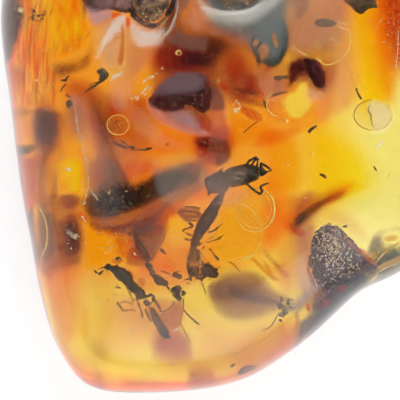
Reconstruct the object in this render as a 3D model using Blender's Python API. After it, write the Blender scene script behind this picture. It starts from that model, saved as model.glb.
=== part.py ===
"""A palm-sized nugget of fossil resin, polished all round and lying on its flat back.

The nugget grew and was polished as one piece, so it is one object. Its origin is on the
surface that it lies on, at the middle of its bounding box. +Z is up out of its broad face,
+Y runs to its wide end and +X to its thin edge.
"""

import bmesh
import bpy
from mathutils import Vector, noise

MM = 0.001

# Driving dimensions, in millimetres.
CROWN_HEIGHT = 15.0  # the broad face at its highest
CROWN_RADIUS = 150.0  # how gently the broad face is domed
CROWN_TOP = Vector((-2.0, -2.0))  # where the broad face is highest
THIN_EDGE_START = 6.0  # from here to +X the broad face slopes away
THIN_EDGE_SLOPE = 0.0045  # drop for each square millimetre past that line
RIM_HEIGHT = 6.6  # where the nugget is widest
POINTS_ROUND = 128
WOBBLE = 0.22  # how far a hand-polished side strays from a true curve
WOBBLE_SPAN = 9.0
CROWN_WOBBLE = 0.3  # the broad face's share of it
RELAX_PER_MM = 5.0  # smoothing passes for each millimetre that a ring is inset

# The outline at the widest height, counter-clockwise: x, y and how wide the back is bevelled
# inwards there.
OUTLINE = (
    (-19.70, 6.90, 4.6),
    (-19.15, 3.10, 4.8),
    (-18.60, -1.00, 5.0),
    (-18.00, -5.00, 5.2),
    (-17.40, -8.20, 5.2),
    (-16.90, -11.40, 5.0),
    (-16.35, -13.80, 4.7),
    (-15.70, -16.00, 4.2),
    (-14.60, -18.10, 3.7),
    (-13.10, -19.70, 3.3),
    (-10.80, -20.30, 3.2),
    (-7.00, -20.35, 3.2),
    (-3.00, -20.10, 3.0),
    (0.00, -19.30, 2.7),
    (2.35, -17.95, 2.4),
    (4.90, -16.10, 2.2),
    (7.20, -13.95, 2.0),
    (9.20, -12.20, 1.9),
    (12.10, -10.90, 2.2),
    (15.60, -8.60, 3.0),
    (18.20, -4.60, 4.2),
    (19.50, 1.00, 5.2),
    (19.85, 7.00, 5.4),
    (18.70, 12.60, 4.8),
    (15.60, 16.90, 4.0),
    (10.60, 19.40, 3.6),
    (4.00, 20.25, 3.4),
    (-3.50, 20.30, 3.4),
    (-10.50, 19.70, 3.4),
    (-15.60, 18.10, 3.6),
    (-18.80, 14.80, 4.0),
    (-19.85, 10.80, 4.4),
)

# The back bevel from the flat back up to the rim: share of the bevel's width left, height.
BACK_PROFILE = (
    (1.0, 0.0),
    (0.93, 0.16),
    (0.80, 0.75),
    (0.56, 2.00),
    (0.34, 3.20),
    (0.17, 4.30),
    (0.06, 5.20),
    (0.01, 5.90),
)
# The front edge from the rim up to the broad face: inset, share of the rise.
FRONT_PROFILE = (
    (0.07, 0.12),
    (0.30, 0.32),
    (0.72, 0.52),
    (1.35, 0.69),
    (2.20, 0.83),
    (3.25, 0.925),
    (4.50, 0.98),
    (5.90, 1.0),
)

# Shallow hollows that the polishing left in the broad face: x, y, radius, depth.
HOLLOWS = (
    (7.30, -9.60, 4.2, 0.40),
    (14.60, -4.60, 4.6, 0.35),
    (-8.80, 4.20, 5.0, 0.22),
    (-4.50, -6.50, 5.5, 0.25),
)


def smooth_step(x):
    x = min(1.0, max(0.0, x))
    return x * x * (3.0 - 2.0 * x)


def crown_height(x, y):
    """The broad face's height: a shallow dome that falls to the thin edge, with its hollows."""
    from_top = (Vector((x, y)) - CROWN_TOP).length
    height = CROWN_HEIGHT - from_top**2 / (2.0 * CROWN_RADIUS)
    height -= THIN_EDGE_SLOPE * max(0.0, x - THIN_EDGE_START) ** 2
    for hollow_x, hollow_y, radius, depth in HOLLOWS:
        from_middle = Vector((x - hollow_x, y - hollow_y)).length / radius
        height -= depth * smooth_step(1.0 - from_middle)
    return height


def closed_spline(points, t):
    """The point at t of a closed Catmull-Rom spline with one unit of t between its points."""
    step = int(t)
    u = t - step
    before, start, end, after = (Vector(points[(step + k) % len(points)]) for k in (-1, 0, 1, 2))
    return 0.5 * (
        2.0 * start
        + (end - before) * u
        + (2.0 * before - 5.0 * start + 4.0 * end - after) * u**2
        + (3.0 * start - before - 3.0 * end + after) * u**3
    )


def even_outline():
    """POINTS_ROUND points of the outline, evenly spaced along it: x, y and the bevel there."""
    fine_steps = 40 * len(OUTLINE)
    fine = [closed_spline(OUTLINE, i * len(OUTLINE) / fine_steps) for i in range(fine_steps)]
    lengths = [(fine[(i + 1) % fine_steps].xy - fine[i].xy).length for i in range(fine_steps)]
    spacing = sum(lengths) / POINTS_ROUND
    found, walked = [], 0.0
    for point, length in zip(fine, lengths):
        if len(found) < POINTS_ROUND and walked >= len(found) * spacing - 1e-6:
            found.append(point)
        walked += length
    return found


def inward_normals(outline):
    """The unit normal that points into the nugget at each point of the outline."""
    count = len(outline)
    normals = []
    for i in range(count):
        along = outline[(i + 1) % count].xy - outline[i - 1].xy
        normals.append(Vector((-along.y, along.x)).normalized())
    return normals


def wobbled(point, share):
    """The point moved a little, as a hand-polished surface strays, by that share of WOBBLE."""
    return point + noise.noise_vector(point / WOBBLE_SPAN) * WOBBLE * share


def inset_outline(outline, insets):
    """The outline moved inwards by its insets, and relaxed so that no tight corner folds over."""
    count = len(outline)
    ring = []
    for point, normal, inset in zip(outline, inward_normals(outline), insets):
        ring.append(point.xy + normal * inset)
    for _ in range(round(RELAX_PER_MM * sum(insets) / count)):
        ring = [(ring[i - 1] + 2.0 * ring[i] + ring[(i + 1) % count]) / 4.0 for i in range(count)]
    return ring


def ring_points(outline):
    """Every ring of the nugget's side as a list of points, from the flat back to the crown."""
    rings = []
    for bevel_share, height in BACK_PROFILE:
        places = inset_outline(outline, [bevel_share * point.z for point in outline])
        # The flat back stays flat; the wobble grows with the height.
        rings.append([wobbled(Vector((*place, height)), height / RIM_HEIGHT) for place in places])
    rings.append([wobbled(Vector((*point.xy, RIM_HEIGHT)), 1.0) for point in outline])
    for inset, rise in FRONT_PROFILE:
        ring = []
        for place in inset_outline(outline, [inset] * len(outline)):
            height = RIM_HEIGHT + (crown_height(*place) - RIM_HEIGHT) * rise
            ring.append(wobbled(Vector((*place, height)), 1.0 + (CROWN_WOBBLE - 1.0) * rise))
        rings.append(ring)
    return rings


def add_ring(mesh, points):
    """The points as one closed loop of edges."""
    verts = [mesh.verts.new(point) for point in points]
    return [mesh.edges.new((verts[i - 1], verts[i])) for i in range(len(verts))]


def build_side(mesh, rings):
    """Bridges each ring to the next and closes the flat back. Returns the last ring's edges."""
    loops = [add_ring(mesh, ring) for ring in rings]
    for lower, upper in zip(loops, loops[1:]):
        bmesh.ops.bridge_loops(mesh, edges=lower + upper)
    bmesh.ops.contextual_create(mesh, geom=loops[0])
    return loops[-1]


def fill_crown(nugget, loop):
    """Fills the broad face with an even grid of quads and lifts each point to its height."""
    bpy.context.view_layer.objects.active = nugget
    bpy.ops.object.mode_set(mode="EDIT")
    mesh = bmesh.from_edit_mesh(nugget.data)
    mesh.edges.ensure_lookup_table()
    for edge in mesh.edges:
        edge.select = edge.index in loop
    bmesh.update_edit_mesh(nugget.data)
    bpy.ops.mesh.fill_grid(span=POINTS_ROUND // 4, offset=8)
    bpy.ops.mesh.select_all(action="SELECT")
    bpy.ops.mesh.normals_make_consistent(inside=False)
    bpy.ops.object.mode_set(mode="OBJECT")


def lift_crown(nugget, first_new):
    """Sets the height of the grid's points, which come after the rings' own."""
    for vertex in nugget.data.vertices[first_new:]:
        x, y = vertex.co.x, vertex.co.y
        vertex.co = wobbled(Vector((x, y, crown_height(x, y))), CROWN_WOBBLE)


def amber_material():
    material = bpy.data.materials.new("amber")
    material.use_nodes = True
    shader = material.node_tree.nodes["Principled BSDF"]
    shader.inputs["Base Color"].default_value = (0.95, 0.52, 0.10, 1.0)
    shader.inputs["Roughness"].default_value = 0.03
    shader.inputs["Metallic"].default_value = 0.0
    shader.inputs["IOR"].default_value = 1.54
    return material


def build_amber():
    outline = even_outline()
    rings = ring_points(outline)
    data = bpy.data.meshes.new("amber")
    mesh = bmesh.new()
    last_loop = build_side(mesh, rings)
    mesh.edges.index_update()
    last_indices = {edge.index for edge in last_loop}
    mesh.to_mesh(data)
    mesh.free()
    nugget = bpy.data.objects.new("amber", data)
    bpy.context.scene.collection.objects.link(nugget)
    fill_crown(nugget, last_indices)
    lift_crown(nugget, POINTS_ROUND * len(rings))
    data.shade_smooth()
    data.materials.append(amber_material())
    return nugget


def settle(nugget):
    """Puts the middle of the bounding box over the origin, then writes the size in metres."""
    corners = [Vector(corner) for corner in nugget.bound_box]
    low = Vector(min(corner[k] for corner in corners) for k in range(3))
    high = Vector(max(corner[k] for corner in corners) for k in range(3))
    middle = (low + high) / 2.0
    for vertex in nugget.data.vertices:
        vertex.co = (vertex.co - Vector((middle.x, middle.y, low.z))) * MM


def main():
    for existing in list(bpy.data.objects):
        bpy.data.objects.remove(existing)
    nugget = build_amber()
    settle(nugget)


main()
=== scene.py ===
import math
import random

import bpy
import numpy as np
from mathutils import Euler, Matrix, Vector, noise


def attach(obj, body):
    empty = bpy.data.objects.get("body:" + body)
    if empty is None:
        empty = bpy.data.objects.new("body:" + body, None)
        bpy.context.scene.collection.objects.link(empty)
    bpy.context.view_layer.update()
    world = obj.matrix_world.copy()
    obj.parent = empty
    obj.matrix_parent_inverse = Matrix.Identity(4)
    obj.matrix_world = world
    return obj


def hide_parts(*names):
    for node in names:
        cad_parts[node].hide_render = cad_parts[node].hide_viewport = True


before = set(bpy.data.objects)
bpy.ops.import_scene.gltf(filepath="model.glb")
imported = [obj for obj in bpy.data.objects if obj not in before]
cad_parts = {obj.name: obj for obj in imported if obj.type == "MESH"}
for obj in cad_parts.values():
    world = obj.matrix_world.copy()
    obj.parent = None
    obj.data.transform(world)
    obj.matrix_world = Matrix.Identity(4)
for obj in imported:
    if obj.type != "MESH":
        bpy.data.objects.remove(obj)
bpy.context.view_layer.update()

# A polished nugget of fossil resin with insects, resin-flow discs, gas gaps and bark crumbs
# sealed in it. Lengths are in metres; sheet, strand and lump sizes are in millimetres or in
# picture pixels. Places inside the nugget are given by where the camera sees them, in pixels of
# a 400 by 400 picture, and by their height over the floor: looking_at() follows the line of
# sight through the polished face to find them.

MM = 0.001

# The camera looks straight down on the broad face.
PIXEL = 0.08 * MM  # one pixel at the height of the nugget's rim
IMAGE_SIZE = 400
RIM_HEIGHT = 6.6 * MM
VIEW_MIDDLE = Vector((-3.92 * MM, -5.0 * MM, RIM_HEIGHT))
CAMERA_DISTANCE = 260.0 * MM
SENSOR_WIDTH = 36.0
AMBER_IOR = 1.54

# The room's brightness falls between these upward parts of a direction, from one strength to
# the other, so that the broad face reflects little.
ROOM_FADE = (0.40, 0.88, 0.70, 0.09)
# Soft windows: a direction, how near to it a direction must be (as cosines) and how much
# brighter it is there. The first stands at the rounded end and the second at the wide end.
WINDOWS = (
    ((0.15, -0.72, 0.68), (0.72, 0.97, 0.0, 2.2)),
    ((0.35, 0.80, 0.38), (0.72, 0.96, 0.0, 6.0)),
)
FLOOR_GLOW = 0.74  # the floor is a white light table, which lights the amber from below too

SHEET_CELL = 0.28 * MM  # the mesh size of stained sheets
SKIN_FADE = 0.4 * MM  # a stain fades out this close to the amber's surface
SKIN = 0.12 * MM  # nothing sealed in the amber comes nearer to its surface than this
SHEET_END = 0.05 * MM  # a sheet is cut off this close to the surface
GRAIN_DEPTH = 0.15 * MM  # grains of dust lie at least this deep
RIPPLE_SPAN = 3.0 * MM  # how wide the ripples of a sheet are
MERGE_DISTANCE = 0.000002  # points nearer than this are one point

SCRATCH_DEPTH = 0.0015  # the polishing scratches, in millimetres

nugget = None  # the visible amber, which looking_at() looks through


# ---------------------------------------------------------------- modelling helpers


def deselect_all():
    if bpy.context.mode != "OBJECT":
        bpy.ops.object.mode_set(mode="OBJECT")
    bpy.ops.object.select_all(action="DESELECT")


def pick(piece):
    """Makes the piece the only selected and the active object."""
    deselect_all()
    piece.select_set(True)
    bpy.context.view_layer.objects.active = piece


def apply_modifiers(piece):
    pick(piece)
    for modifier in list(piece.modifiers):
        bpy.ops.object.modifier_apply(modifier=modifier.name)


def settle(piece):
    """Puts the piece's place, turn and scale into its mesh."""
    pick(piece)
    bpy.ops.object.transform_apply(location=True, rotation=True, scale=True)


def join(parts):
    """The parts as one object."""
    for part in parts:
        settle(part)
    deselect_all()
    for part in parts:
        part.select_set(True)
    bpy.context.view_layer.objects.active = parts[0]
    if len(parts) > 1:
        bpy.ops.object.join()
    return parts[0]


def select_vertices(piece, chosen):
    """Selects only the vertices whose entry in chosen is true, and leaves edit mode on."""
    pick(piece)
    bpy.ops.object.mode_set(mode="EDIT")
    bpy.ops.mesh.select_mode(type="VERT")
    bpy.ops.mesh.select_all(action="DESELECT")
    bpy.ops.object.mode_set(mode="OBJECT")
    piece.data.vertices.foreach_set("select", np.asarray(chosen, dtype=bool))
    bpy.ops.object.mode_set(mode="EDIT")


def tuck_in(piece):
    """Moves any point that is outside the amber or just under its surface further in."""
    for vertex in piece.data.vertices:
        _, nearest, normal, _ = nugget.closest_point_on_mesh(vertex.co)
        if (vertex.co - nearest).dot(normal) > -SKIN:
            vertex.co = nearest - normal * SKIN


def finish_piece(piece, name, material, smooth=True):
    """Names the piece, gives it its finish and fixes it to the nugget's body."""
    settle(piece)
    if nugget:
        tuck_in(piece)
    piece.name = name
    piece.data.name = name
    piece.data.materials.clear()
    piece.data.materials.append(material)
    for polygon in piece.data.polygons:
        polygon.material_index = 0
    if smooth:
        piece.data.shade_smooth()
    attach(piece, "root")
    return piece


def smooth_step(value):
    value = np.clip(value, 0.0, 1.0)
    return value * value * (3.0 - 2.0 * value)


def spline_point(before, start, end, after, share):
    """A point of a Catmull-Rom spline between start and end; works on tuples of any length."""
    blend = []
    for a, b, c, d in zip(before, start, end, after):
        curve = 2.0 * b + (c - a) * share + (2.0 * a - 5.0 * b + 4.0 * c - d) * share**2
        blend.append(0.5 * (curve + (3.0 * b - a - 3.0 * c + d) * share**3))
    return tuple(blend)


def smooth_line(points, steps=4):
    """The points joined by a smooth open curve, with that many steps from each to the next."""
    ends = [points[0], *points, points[-1]]
    line = []
    for i in range(len(points) - 1):
        line += [spline_point(*ends[i : i + 4], k / steps) for k in range(steps)]
    return [*line, points[-1]]


def smooth_loop(points, steps=5):
    """The points joined by a smooth closed curve."""
    count = len(points)
    loop = []
    for i in range(count):
        around = [points[(i + k) % count] for k in (-1, 0, 1, 2)]
        loop += [spline_point(*around, k / steps) for k in range(steps)]
    return loop


def rim_distance(places, loop):
    """How far inside the loop each place is, seen from above, negative outside, and the nearest
    point of the loop."""
    starts = np.array(loop)[:, :2]
    sides = np.roll(starts, -1, axis=0) - starts
    from_start = places[:, None, :2] - starts[None]
    share = (from_start * sides).sum(2) / np.maximum((sides**2).sum(1), 1e-14)
    to_place = from_start - np.clip(share, 0.0, 1.0)[..., None] * sides
    distances = (to_place**2).sum(2)
    best = distances.argmin(1)
    rows = np.arange(len(places))
    nearest = places[:, :2] - to_place[rows, best]
    ends = starts + sides
    x, y = places[:, None, 0], places[:, None, 1]
    crosses = (starts[:, 1] > y) != (ends[:, 1] > y)
    rise = np.where(np.abs(sides[:, 1]) < 1e-9, 1e-9, sides[:, 1])
    left_of = x < starts[:, 0] + (y - starts[:, 1]) * sides[:, 0] / rise
    inside = (crosses & left_of).sum(1) % 2 == 1
    distance = np.sqrt(distances[rows, best])
    return np.where(inside, distance, -distance), nearest


def cut_grid(loop, cell):
    """A flat grid trimmed to the loop, with its rim moved onto it. Returns it and how far
    inside the loop each of its points is."""
    low, high = np.min(loop, axis=0) - cell, np.max(loop, axis=0) + cell
    size = high - low
    counts = [max(4, math.ceil(length / cell)) for length in size[:2]]
    deselect_all()
    bpy.ops.mesh.primitive_grid_add(
        x_subdivisions=counts[0],
        y_subdivisions=counts[1],
        size=1.0,
        location=tuple((low + high) / 2.0),
    )
    piece = bpy.context.active_object
    piece.scale = (size[0], size[1], 1.0)
    settle(piece)
    places = np.array([vertex.co for vertex in piece.data.vertices])
    distance, _ = rim_distance(places, loop)
    select_vertices(piece, distance < -0.7 * cell)
    bpy.ops.mesh.delete(type="VERT")
    bpy.ops.object.mode_set(mode="OBJECT")
    places = np.array([vertex.co for vertex in piece.data.vertices])
    distance, nearest = rim_distance(places, loop)
    outside = distance < 0.0
    places[outside, :2] = nearest[outside]
    piece.data.vertices.foreach_set("co", places.ravel())
    return piece, np.maximum(distance, 0.0)


def pairs(outline):
    """The points of an outline, which is a run of numbers: across, down, across, down and so on."""
    return list(zip(outline[::2], outline[1::2]))


def edge_loop(outline, height):
    """The outline's smooth loop at that height in the amber."""
    return smooth_loop([tuple(looking_at(x, y, height * MM)) for x, y in pairs(outline)])


def pillow(outline, height, thickness, rim, cell=0.12, relief=(), bow=0.0):
    """A closed rounded body with that outline in pixels. Its sizes are in millimetres: it is
    thickness deep and rounds over within rim of its edge, and its middle is raised by bow."""
    piece, distance = cut_grid(edge_loop(outline, height), cell * MM)
    inner = 1.0 - np.clip(distance / (rim * MM), 0.0, 1.0)
    half = 0.5 * thickness * MM * np.sqrt(1.0 - inner**2)
    raised = bow * MM * smooth_step(distance / max(distance.max(), 1e-9))
    under = piece.copy()
    under.data = piece.data.copy()
    bpy.context.scene.collection.objects.link(under)
    for side, sign in ((piece, 1.0), (under, -1.0)):
        places = np.array([vertex.co for vertex in side.data.vertices])
        places[:, 2] += sign * half + raised
        side.data.vertices.foreach_set("co", places.ravel())
        side.data.update()
    piece = join([piece, under])
    pick(piece)
    bpy.ops.object.mode_set(mode="EDIT")
    bpy.ops.mesh.select_all(action="SELECT")
    bpy.ops.mesh.remove_doubles(threshold=MERGE_DISTANCE)
    bpy.ops.mesh.normals_make_consistent(inside=False)
    bpy.ops.object.mode_set(mode="OBJECT")
    for grain, strength in relief:
        displace(piece, grain, strength)
    apply_modifiers(piece)
    return piece


def bodies(name, material, parts):
    """Several pillows as one piece."""
    return finish_piece(join([pillow(*part) for part in parts]), name, material)


# ---------------------------------------------------------------- the nugget


def make_nugget():
    """The polished amber: the CAD solid's own shape, merged and given a finer, softer mesh."""
    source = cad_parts["amber"]
    piece = bpy.data.objects.new("nugget", source.data.copy())
    bpy.context.scene.collection.objects.link(piece)
    pick(piece)
    bpy.ops.object.mode_set(mode="EDIT")
    bpy.ops.mesh.select_all(action="SELECT")
    bpy.ops.mesh.remove_doubles(threshold=0.00001)
    bpy.ops.mesh.tris_convert_to_quads()
    bpy.ops.mesh.normals_make_consistent(inside=False)
    bpy.ops.object.mode_set(mode="OBJECT")
    subdivision = piece.modifiers.new("soften", "SUBSURF")
    subdivision.levels = subdivision.render_levels = 1
    apply_modifiers(piece)
    finish_piece(piece, "amber_nugget", amber_material())
    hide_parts("amber")
    return piece


def looking_at(across, down, height):
    """The place at that height that the camera sees at that pixel, bent by the amber's face."""
    eye = VIEW_MIDDLE + Vector((0.0, 0.0, CAMERA_DISTANCE))
    shift = Vector((across - IMAGE_SIZE / 2, IMAGE_SIZE / 2 - down, 0.0)) * PIXEL
    sight = (VIEW_MIDDLE + shift - eye).normalized()
    hit, place, normal, _ = nugget.ray_cast(eye, sight)
    if not hit:
        return eye + sight * ((height - eye.z) / sight.z)
    cosine = -sight.dot(normal)
    ratio = 1.0 / AMBER_IOR
    bent = math.sqrt(1.0 - ratio**2 * (1.0 - cosine**2))
    sight = ratio * sight + (ratio * cosine - bent) * normal
    height = min(height, place.z - 0.3 * MM)
    return place + sight * ((height - place.z) / sight.z)


def depth_in_amber(place):
    """How far under the amber's surface a place is. It is negative outside."""
    _, nearest, normal, _ = nugget.closest_point_on_mesh(place)
    gap = (place - nearest).length
    return gap if (place - nearest).dot(normal) < 0.0 else -gap


# ---------------------------------------------------------------- materials


def new_material(name):
    material = bpy.data.materials.new(name)
    material.use_nodes = True
    nodes = material.node_tree.nodes
    return material, nodes, material.node_tree.links, nodes["Principled BSDF"]


def noise_value(nodes, links, size, detail=3.0, stretch=(1.0, 1.0, 1.0), turn=0.0):
    """A noise of that patch size in millimetres, 0 to 1, on the piece's own coordinates."""
    place = nodes.new("ShaderNodeTexCoord")
    mapping = nodes.new("ShaderNodeMapping")
    mapping.inputs["Rotation"].default_value = (0.0, 0.0, turn)
    mapping.inputs["Scale"].default_value = tuple(1.0 / (size * MM * part) for part in stretch)
    pattern = nodes.new("ShaderNodeTexNoise")
    pattern.inputs["Scale"].default_value = 1.0
    pattern.inputs["Detail"].default_value = detail
    links.new(place.outputs["Object"], mapping.inputs["Vector"])
    links.new(mapping.outputs["Vector"], pattern.inputs["Vector"])
    return pattern.outputs["Fac"]


def ranged(nodes, links, value, low, high, to_low=0.0, to_high=1.0):
    """The value's range low to high stretched to another range."""
    node = nodes.new("ShaderNodeMapRange")
    for socket, number in zip(("From Min", "From Max", "To Min", "To Max"), (low, high, to_low, to_high)):
        node.inputs[socket].default_value = number
    links.new(value, node.inputs["Value"])
    return node.outputs["Result"]


def product(nodes, links, first, second):
    node = nodes.new("ShaderNodeMath")
    node.operation = "MULTIPLY"
    for i, value in enumerate((first, second)):
        if isinstance(value, (int, float)):
            node.inputs[i].default_value = value
        else:
            links.new(value, node.inputs[i])
    return node.outputs[0]


def colour_mix(nodes, links, share, low, high):
    """A colour between low and high by share. Either may be a colour or another node's output."""
    node = nodes.new("ShaderNodeMix")
    node.data_type = "RGBA"
    links.new(share, node.inputs["Factor"])
    for socket, colour in zip((node.inputs[6], node.inputs[7]), (low, high)):
        if isinstance(colour, tuple):
            socket.default_value = (*colour, 1.0)
        else:
            links.new(colour, socket)
    return node.outputs[2]


def bump(nodes, links, shader, height, distance, strength=1.0):
    node = nodes.new("ShaderNodeBump")
    node.inputs["Strength"].default_value = strength
    node.inputs["Distance"].default_value = distance * MM
    links.new(height, node.inputs["Height"])
    links.new(node.outputs["Normal"], shader.inputs["Normal"])


def amber_material():
    """Clear resin: what it absorbs is the same all through, and fine scratches cross its face."""
    material, nodes, links, shader = new_material("amber")
    shader.inputs["Base Color"].default_value = (1.0, 1.0, 1.0, 1.0)
    shader.inputs["Roughness"].default_value = 0.0
    shader.inputs["IOR"].default_value = AMBER_IOR
    shader.inputs["Transmission Weight"].default_value = 1.0
    scratches = noise_value(nodes, links, 1.2, 6.0, (0.25, 2.0, 1.0), 0.6)
    bump(nodes, links, shader, scratches, SCRATCH_DEPTH)
    absorption = nodes.new("ShaderNodeVolumeAbsorption")
    absorption.inputs["Color"].default_value = (0.999, 0.965, 0.55, 1.0)
    absorption.inputs["Density"].default_value = 100.0
    links.new(absorption.outputs["Volume"], nodes["Material Output"].inputs["Volume"])
    return material


def stain_material(name, tint, patchiness=0.35, size=2.0, stretch=(1.0, 1.0, 1.0), film=0.0,
                   film_colour=(0.5, 0.5, 0.5), turn=0.0, contrast=0.3, through=0.5, grit=0.0,
                   level=0.5):
    """Stained resin: light passes it tinted, and a film on it scatters a share of the light,
    of which the share called through goes on to the far side. It is densest where the sheet's
    stain is 1, patchy at the size given and broken up by that share of fine grit."""
    material, nodes, links, shader = new_material(name)
    density = nodes.new("ShaderNodeAttribute")
    density.attribute_name = "stain"
    pattern = noise_value(nodes, links, size, 5.0, stretch, turn)
    patches = ranged(nodes, links, pattern, level - contrast, level + contrast, 1.0 - patchiness, 1.0)
    share = product(nodes, links, density.outputs["Fac"], patches)
    if grit:
        fine = noise_value(nodes, links, 0.26, 2.0)
        share = product(nodes, links, share, ranged(nodes, links, fine, 0.40, 0.60, 1.0 - grit, 1.0))
    clear = nodes.new("ShaderNodeBsdfTransparent")
    tinted = nodes.new("ShaderNodeBsdfTransparent")
    tinted.inputs["Color"].default_value = (*tint, 1.0)
    blend = nodes.new("ShaderNodeMixShader")
    links.new(share, blend.inputs["Fac"])
    links.new(clear.outputs[0], blend.inputs[1])
    links.new(tinted.outputs[0], blend.inputs[2])
    last = blend
    if film:
        shader.inputs["Base Color"].default_value = (*film_colour, 1.0)
        shader.inputs["Roughness"].default_value = 0.6
        shader.inputs["Specular IOR Level"].default_value = 0.0
        passed = nodes.new("ShaderNodeBsdfTranslucent")
        passed.inputs["Color"].default_value = (*film_colour, 1.0)
        cloud = nodes.new("ShaderNodeMixShader")
        cloud.inputs["Fac"].default_value = through
        links.new(shader.outputs[0], cloud.inputs[1])
        links.new(passed.outputs[0], cloud.inputs[2])
        last = nodes.new("ShaderNodeMixShader")
        links.new(product(nodes, links, share, film), last.inputs["Fac"])
        links.new(blend.outputs[0], last.inputs[1])
        links.new(cloud.outputs[0], last.inputs[2])
    else:
        nodes.remove(shader)
    links.new(last.outputs[0], nodes["Material Output"].inputs["Surface"])
    return material


def crumb_material(name, dark, light, size, speck=(0.6, 0.5, 0.4), specks=0.62, roughness=0.5,
                   depth=0.12):
    """Rotten bark and crumbs: two colours in patches, pale specks and a grainy surface."""
    material, nodes, links, shader = new_material(name)
    patches = ranged(nodes, links, noise_value(nodes, links, size, 4.0), 0.35, 0.65)
    grain = noise_value(nodes, links, size * 0.16, 2.0)
    colour = colour_mix(nodes, links, patches, dark, light)
    colour = colour_mix(nodes, links, ranged(nodes, links, grain, specks, specks + 0.08), colour, speck)
    links.new(colour, shader.inputs["Base Color"])
    shader.inputs["Roughness"].default_value = roughness
    bump(nodes, links, shader, grain, depth)
    return material


def cuticle_material(name, dark, light, size=0.6, roughness=0.35):
    """Fossil cuticle: dark, faintly mottled and finely ridged."""
    material, nodes, links, shader = new_material(name)
    mottle = ranged(nodes, links, noise_value(nodes, links, size), 0.3, 0.7)
    links.new(colour_mix(nodes, links, mottle, dark, light), shader.inputs["Base Color"])
    shader.inputs["Roughness"].default_value = roughness
    ridges = noise_value(nodes, links, size * 0.25, 2.0)
    bump(nodes, links, shader, ridges, 0.03)
    return material


def glowing_material(name, dark, light, size=0.6):
    """Thin bright films, which pass on most of the light that comes from below."""
    material, nodes, links, shader = new_material(name)
    mottle = ranged(nodes, links, noise_value(nodes, links, size), 0.35, 0.65)
    colour = colour_mix(nodes, links, mottle, dark, light)
    links.new(colour, shader.inputs["Base Color"])
    shader.inputs["Roughness"].default_value = 0.5
    passed = nodes.new("ShaderNodeBsdfTranslucent")
    links.new(colour, passed.inputs["Color"])
    blend = nodes.new("ShaderNodeMixShader")
    blend.inputs["Fac"].default_value = 0.75
    links.new(shader.outputs[0], blend.inputs[1])
    links.new(passed.outputs[0], blend.inputs[2])
    links.new(blend.outputs[0], nodes["Material Output"].inputs["Surface"])
    return material


def floor_material():
    material, nodes, links, shader = new_material("pale_floor")
    grain = ranged(nodes, links, noise_value(nodes, links, 4.0), 0.3, 0.7)
    colour = colour_mix(nodes, links, grain, (0.30, 0.302, 0.306), (0.31, 0.313, 0.318))
    links.new(colour, shader.inputs["Base Color"])
    shader.inputs["Roughness"].default_value = 0.6
    shader.inputs["Specular IOR Level"].default_value = 0.0
    shader.inputs["Emission Color"].default_value = (0.985, 0.99, 1.0, 1.0)
    shader.inputs["Emission Strength"].default_value = FLOOR_GLOW
    return material


# ---------------------------------------------------------------- shapes sealed in the amber


def sheet(outline, height, softness, gaps=(), ripple=0.25, tilt=(0.0, 0.0), cell=SHEET_CELL):
    """A thin rippled sheet in the amber. The outline is in pixels, the height in millimetres.
    Its stain attribute is 1 inside and fades to 0 over the softness at its rim. Each gap is an
    outline and a softness: the sheet is clear there."""
    loop = edge_loop(outline, height)
    piece, distance = cut_grid(loop, cell)
    middle = np.mean(loop, axis=0)
    stain = smooth_step(distance / max(softness * MM, 1e-6))
    places = np.array([vertex.co for vertex in piece.data.vertices])
    for gap, gap_softness in gaps:
        within, _ = rim_distance(places, edge_loop(gap, height))
        stain = stain * (1.0 - smooth_step(within / (gap_softness * MM)))
    for vertex in piece.data.vertices:
        across, up = vertex.co.x - middle[0], vertex.co.y - middle[1]
        wave = noise.noise(vertex.co / RIPPLE_SPAN + Vector((height, 0.0, 0.0)))
        vertex.co.z += wave * ripple * MM + across * tilt[0] + up * tilt[1]
    depths = np.array([depth_in_amber(vertex.co) for vertex in piece.data.vertices])
    stain = stain * smooth_step(depths / SKIN_FADE)
    attribute = piece.data.attributes.new("stain", "FLOAT", "POINT")
    attribute.data.foreach_set("value", stain.astype(np.float32))
    select_vertices(piece, depths < SHEET_END)
    bpy.ops.mesh.delete(type="VERT")
    bpy.ops.object.mode_set(mode="OBJECT")
    return piece


def flow(name, sheets, *stain, slot="flow", **look):
    """Several sheets of one stain as one piece."""
    material = stain_material(name + "_stain", *stain, **look)
    return finish_piece(join([sheet(*args) for args in sheets]), name, material)


def strands(name, material, lines, height=8.0, smooth=3, resolution=2, relief=()):
    """Tapered round strands as one piece. A line's points are (across, down, width, lift): in
    pixels, and in millimetres over the height; the lift may be left out."""
    data = bpy.data.curves.new(name, "CURVE")
    data.dimensions = "3D"
    data.bevel_depth = PIXEL / 2.0
    data.bevel_resolution = resolution
    data.use_fill_caps = True
    for line in lines:
        points = [point if len(point) == 4 else (*point, 0.0) for point in line]
        points = smooth_line(points, smooth) if smooth else points
        spline = data.splines.new("POLY")
        spline.points.add(len(points) - 1)
        for target, (across, down, width, lift) in zip(spline.points, points):
            target.co = (*looking_at(across, down, (height + lift) * MM), 1.0)
            target.radius = max(width, 0.15)
    piece = bpy.data.objects.new(name, data)
    bpy.context.scene.collection.objects.link(piece)
    pick(piece)
    bpy.ops.object.convert(target="MESH")
    piece = bpy.context.active_object
    for grain, strength in relief:
        displace(piece, grain, strength)
    apply_modifiers(piece)
    return finish_piece(piece, name, material)


def displace(piece, size, strength, kind="CLOUDS", depth=2):
    """Moves the surface in and out by a texture of that size; both are in millimetres."""
    texture = bpy.data.textures.new("relief", kind)
    texture.noise_scale = size * MM
    if kind == "CLOUDS":
        texture.noise_depth = depth
    modifier = piece.modifiers.new("relief", "DISPLACE")
    modifier.texture = texture
    modifier.texture_coords = "GLOBAL"
    modifier.strength = strength * MM
    modifier.mid_level = 0.5


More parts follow.
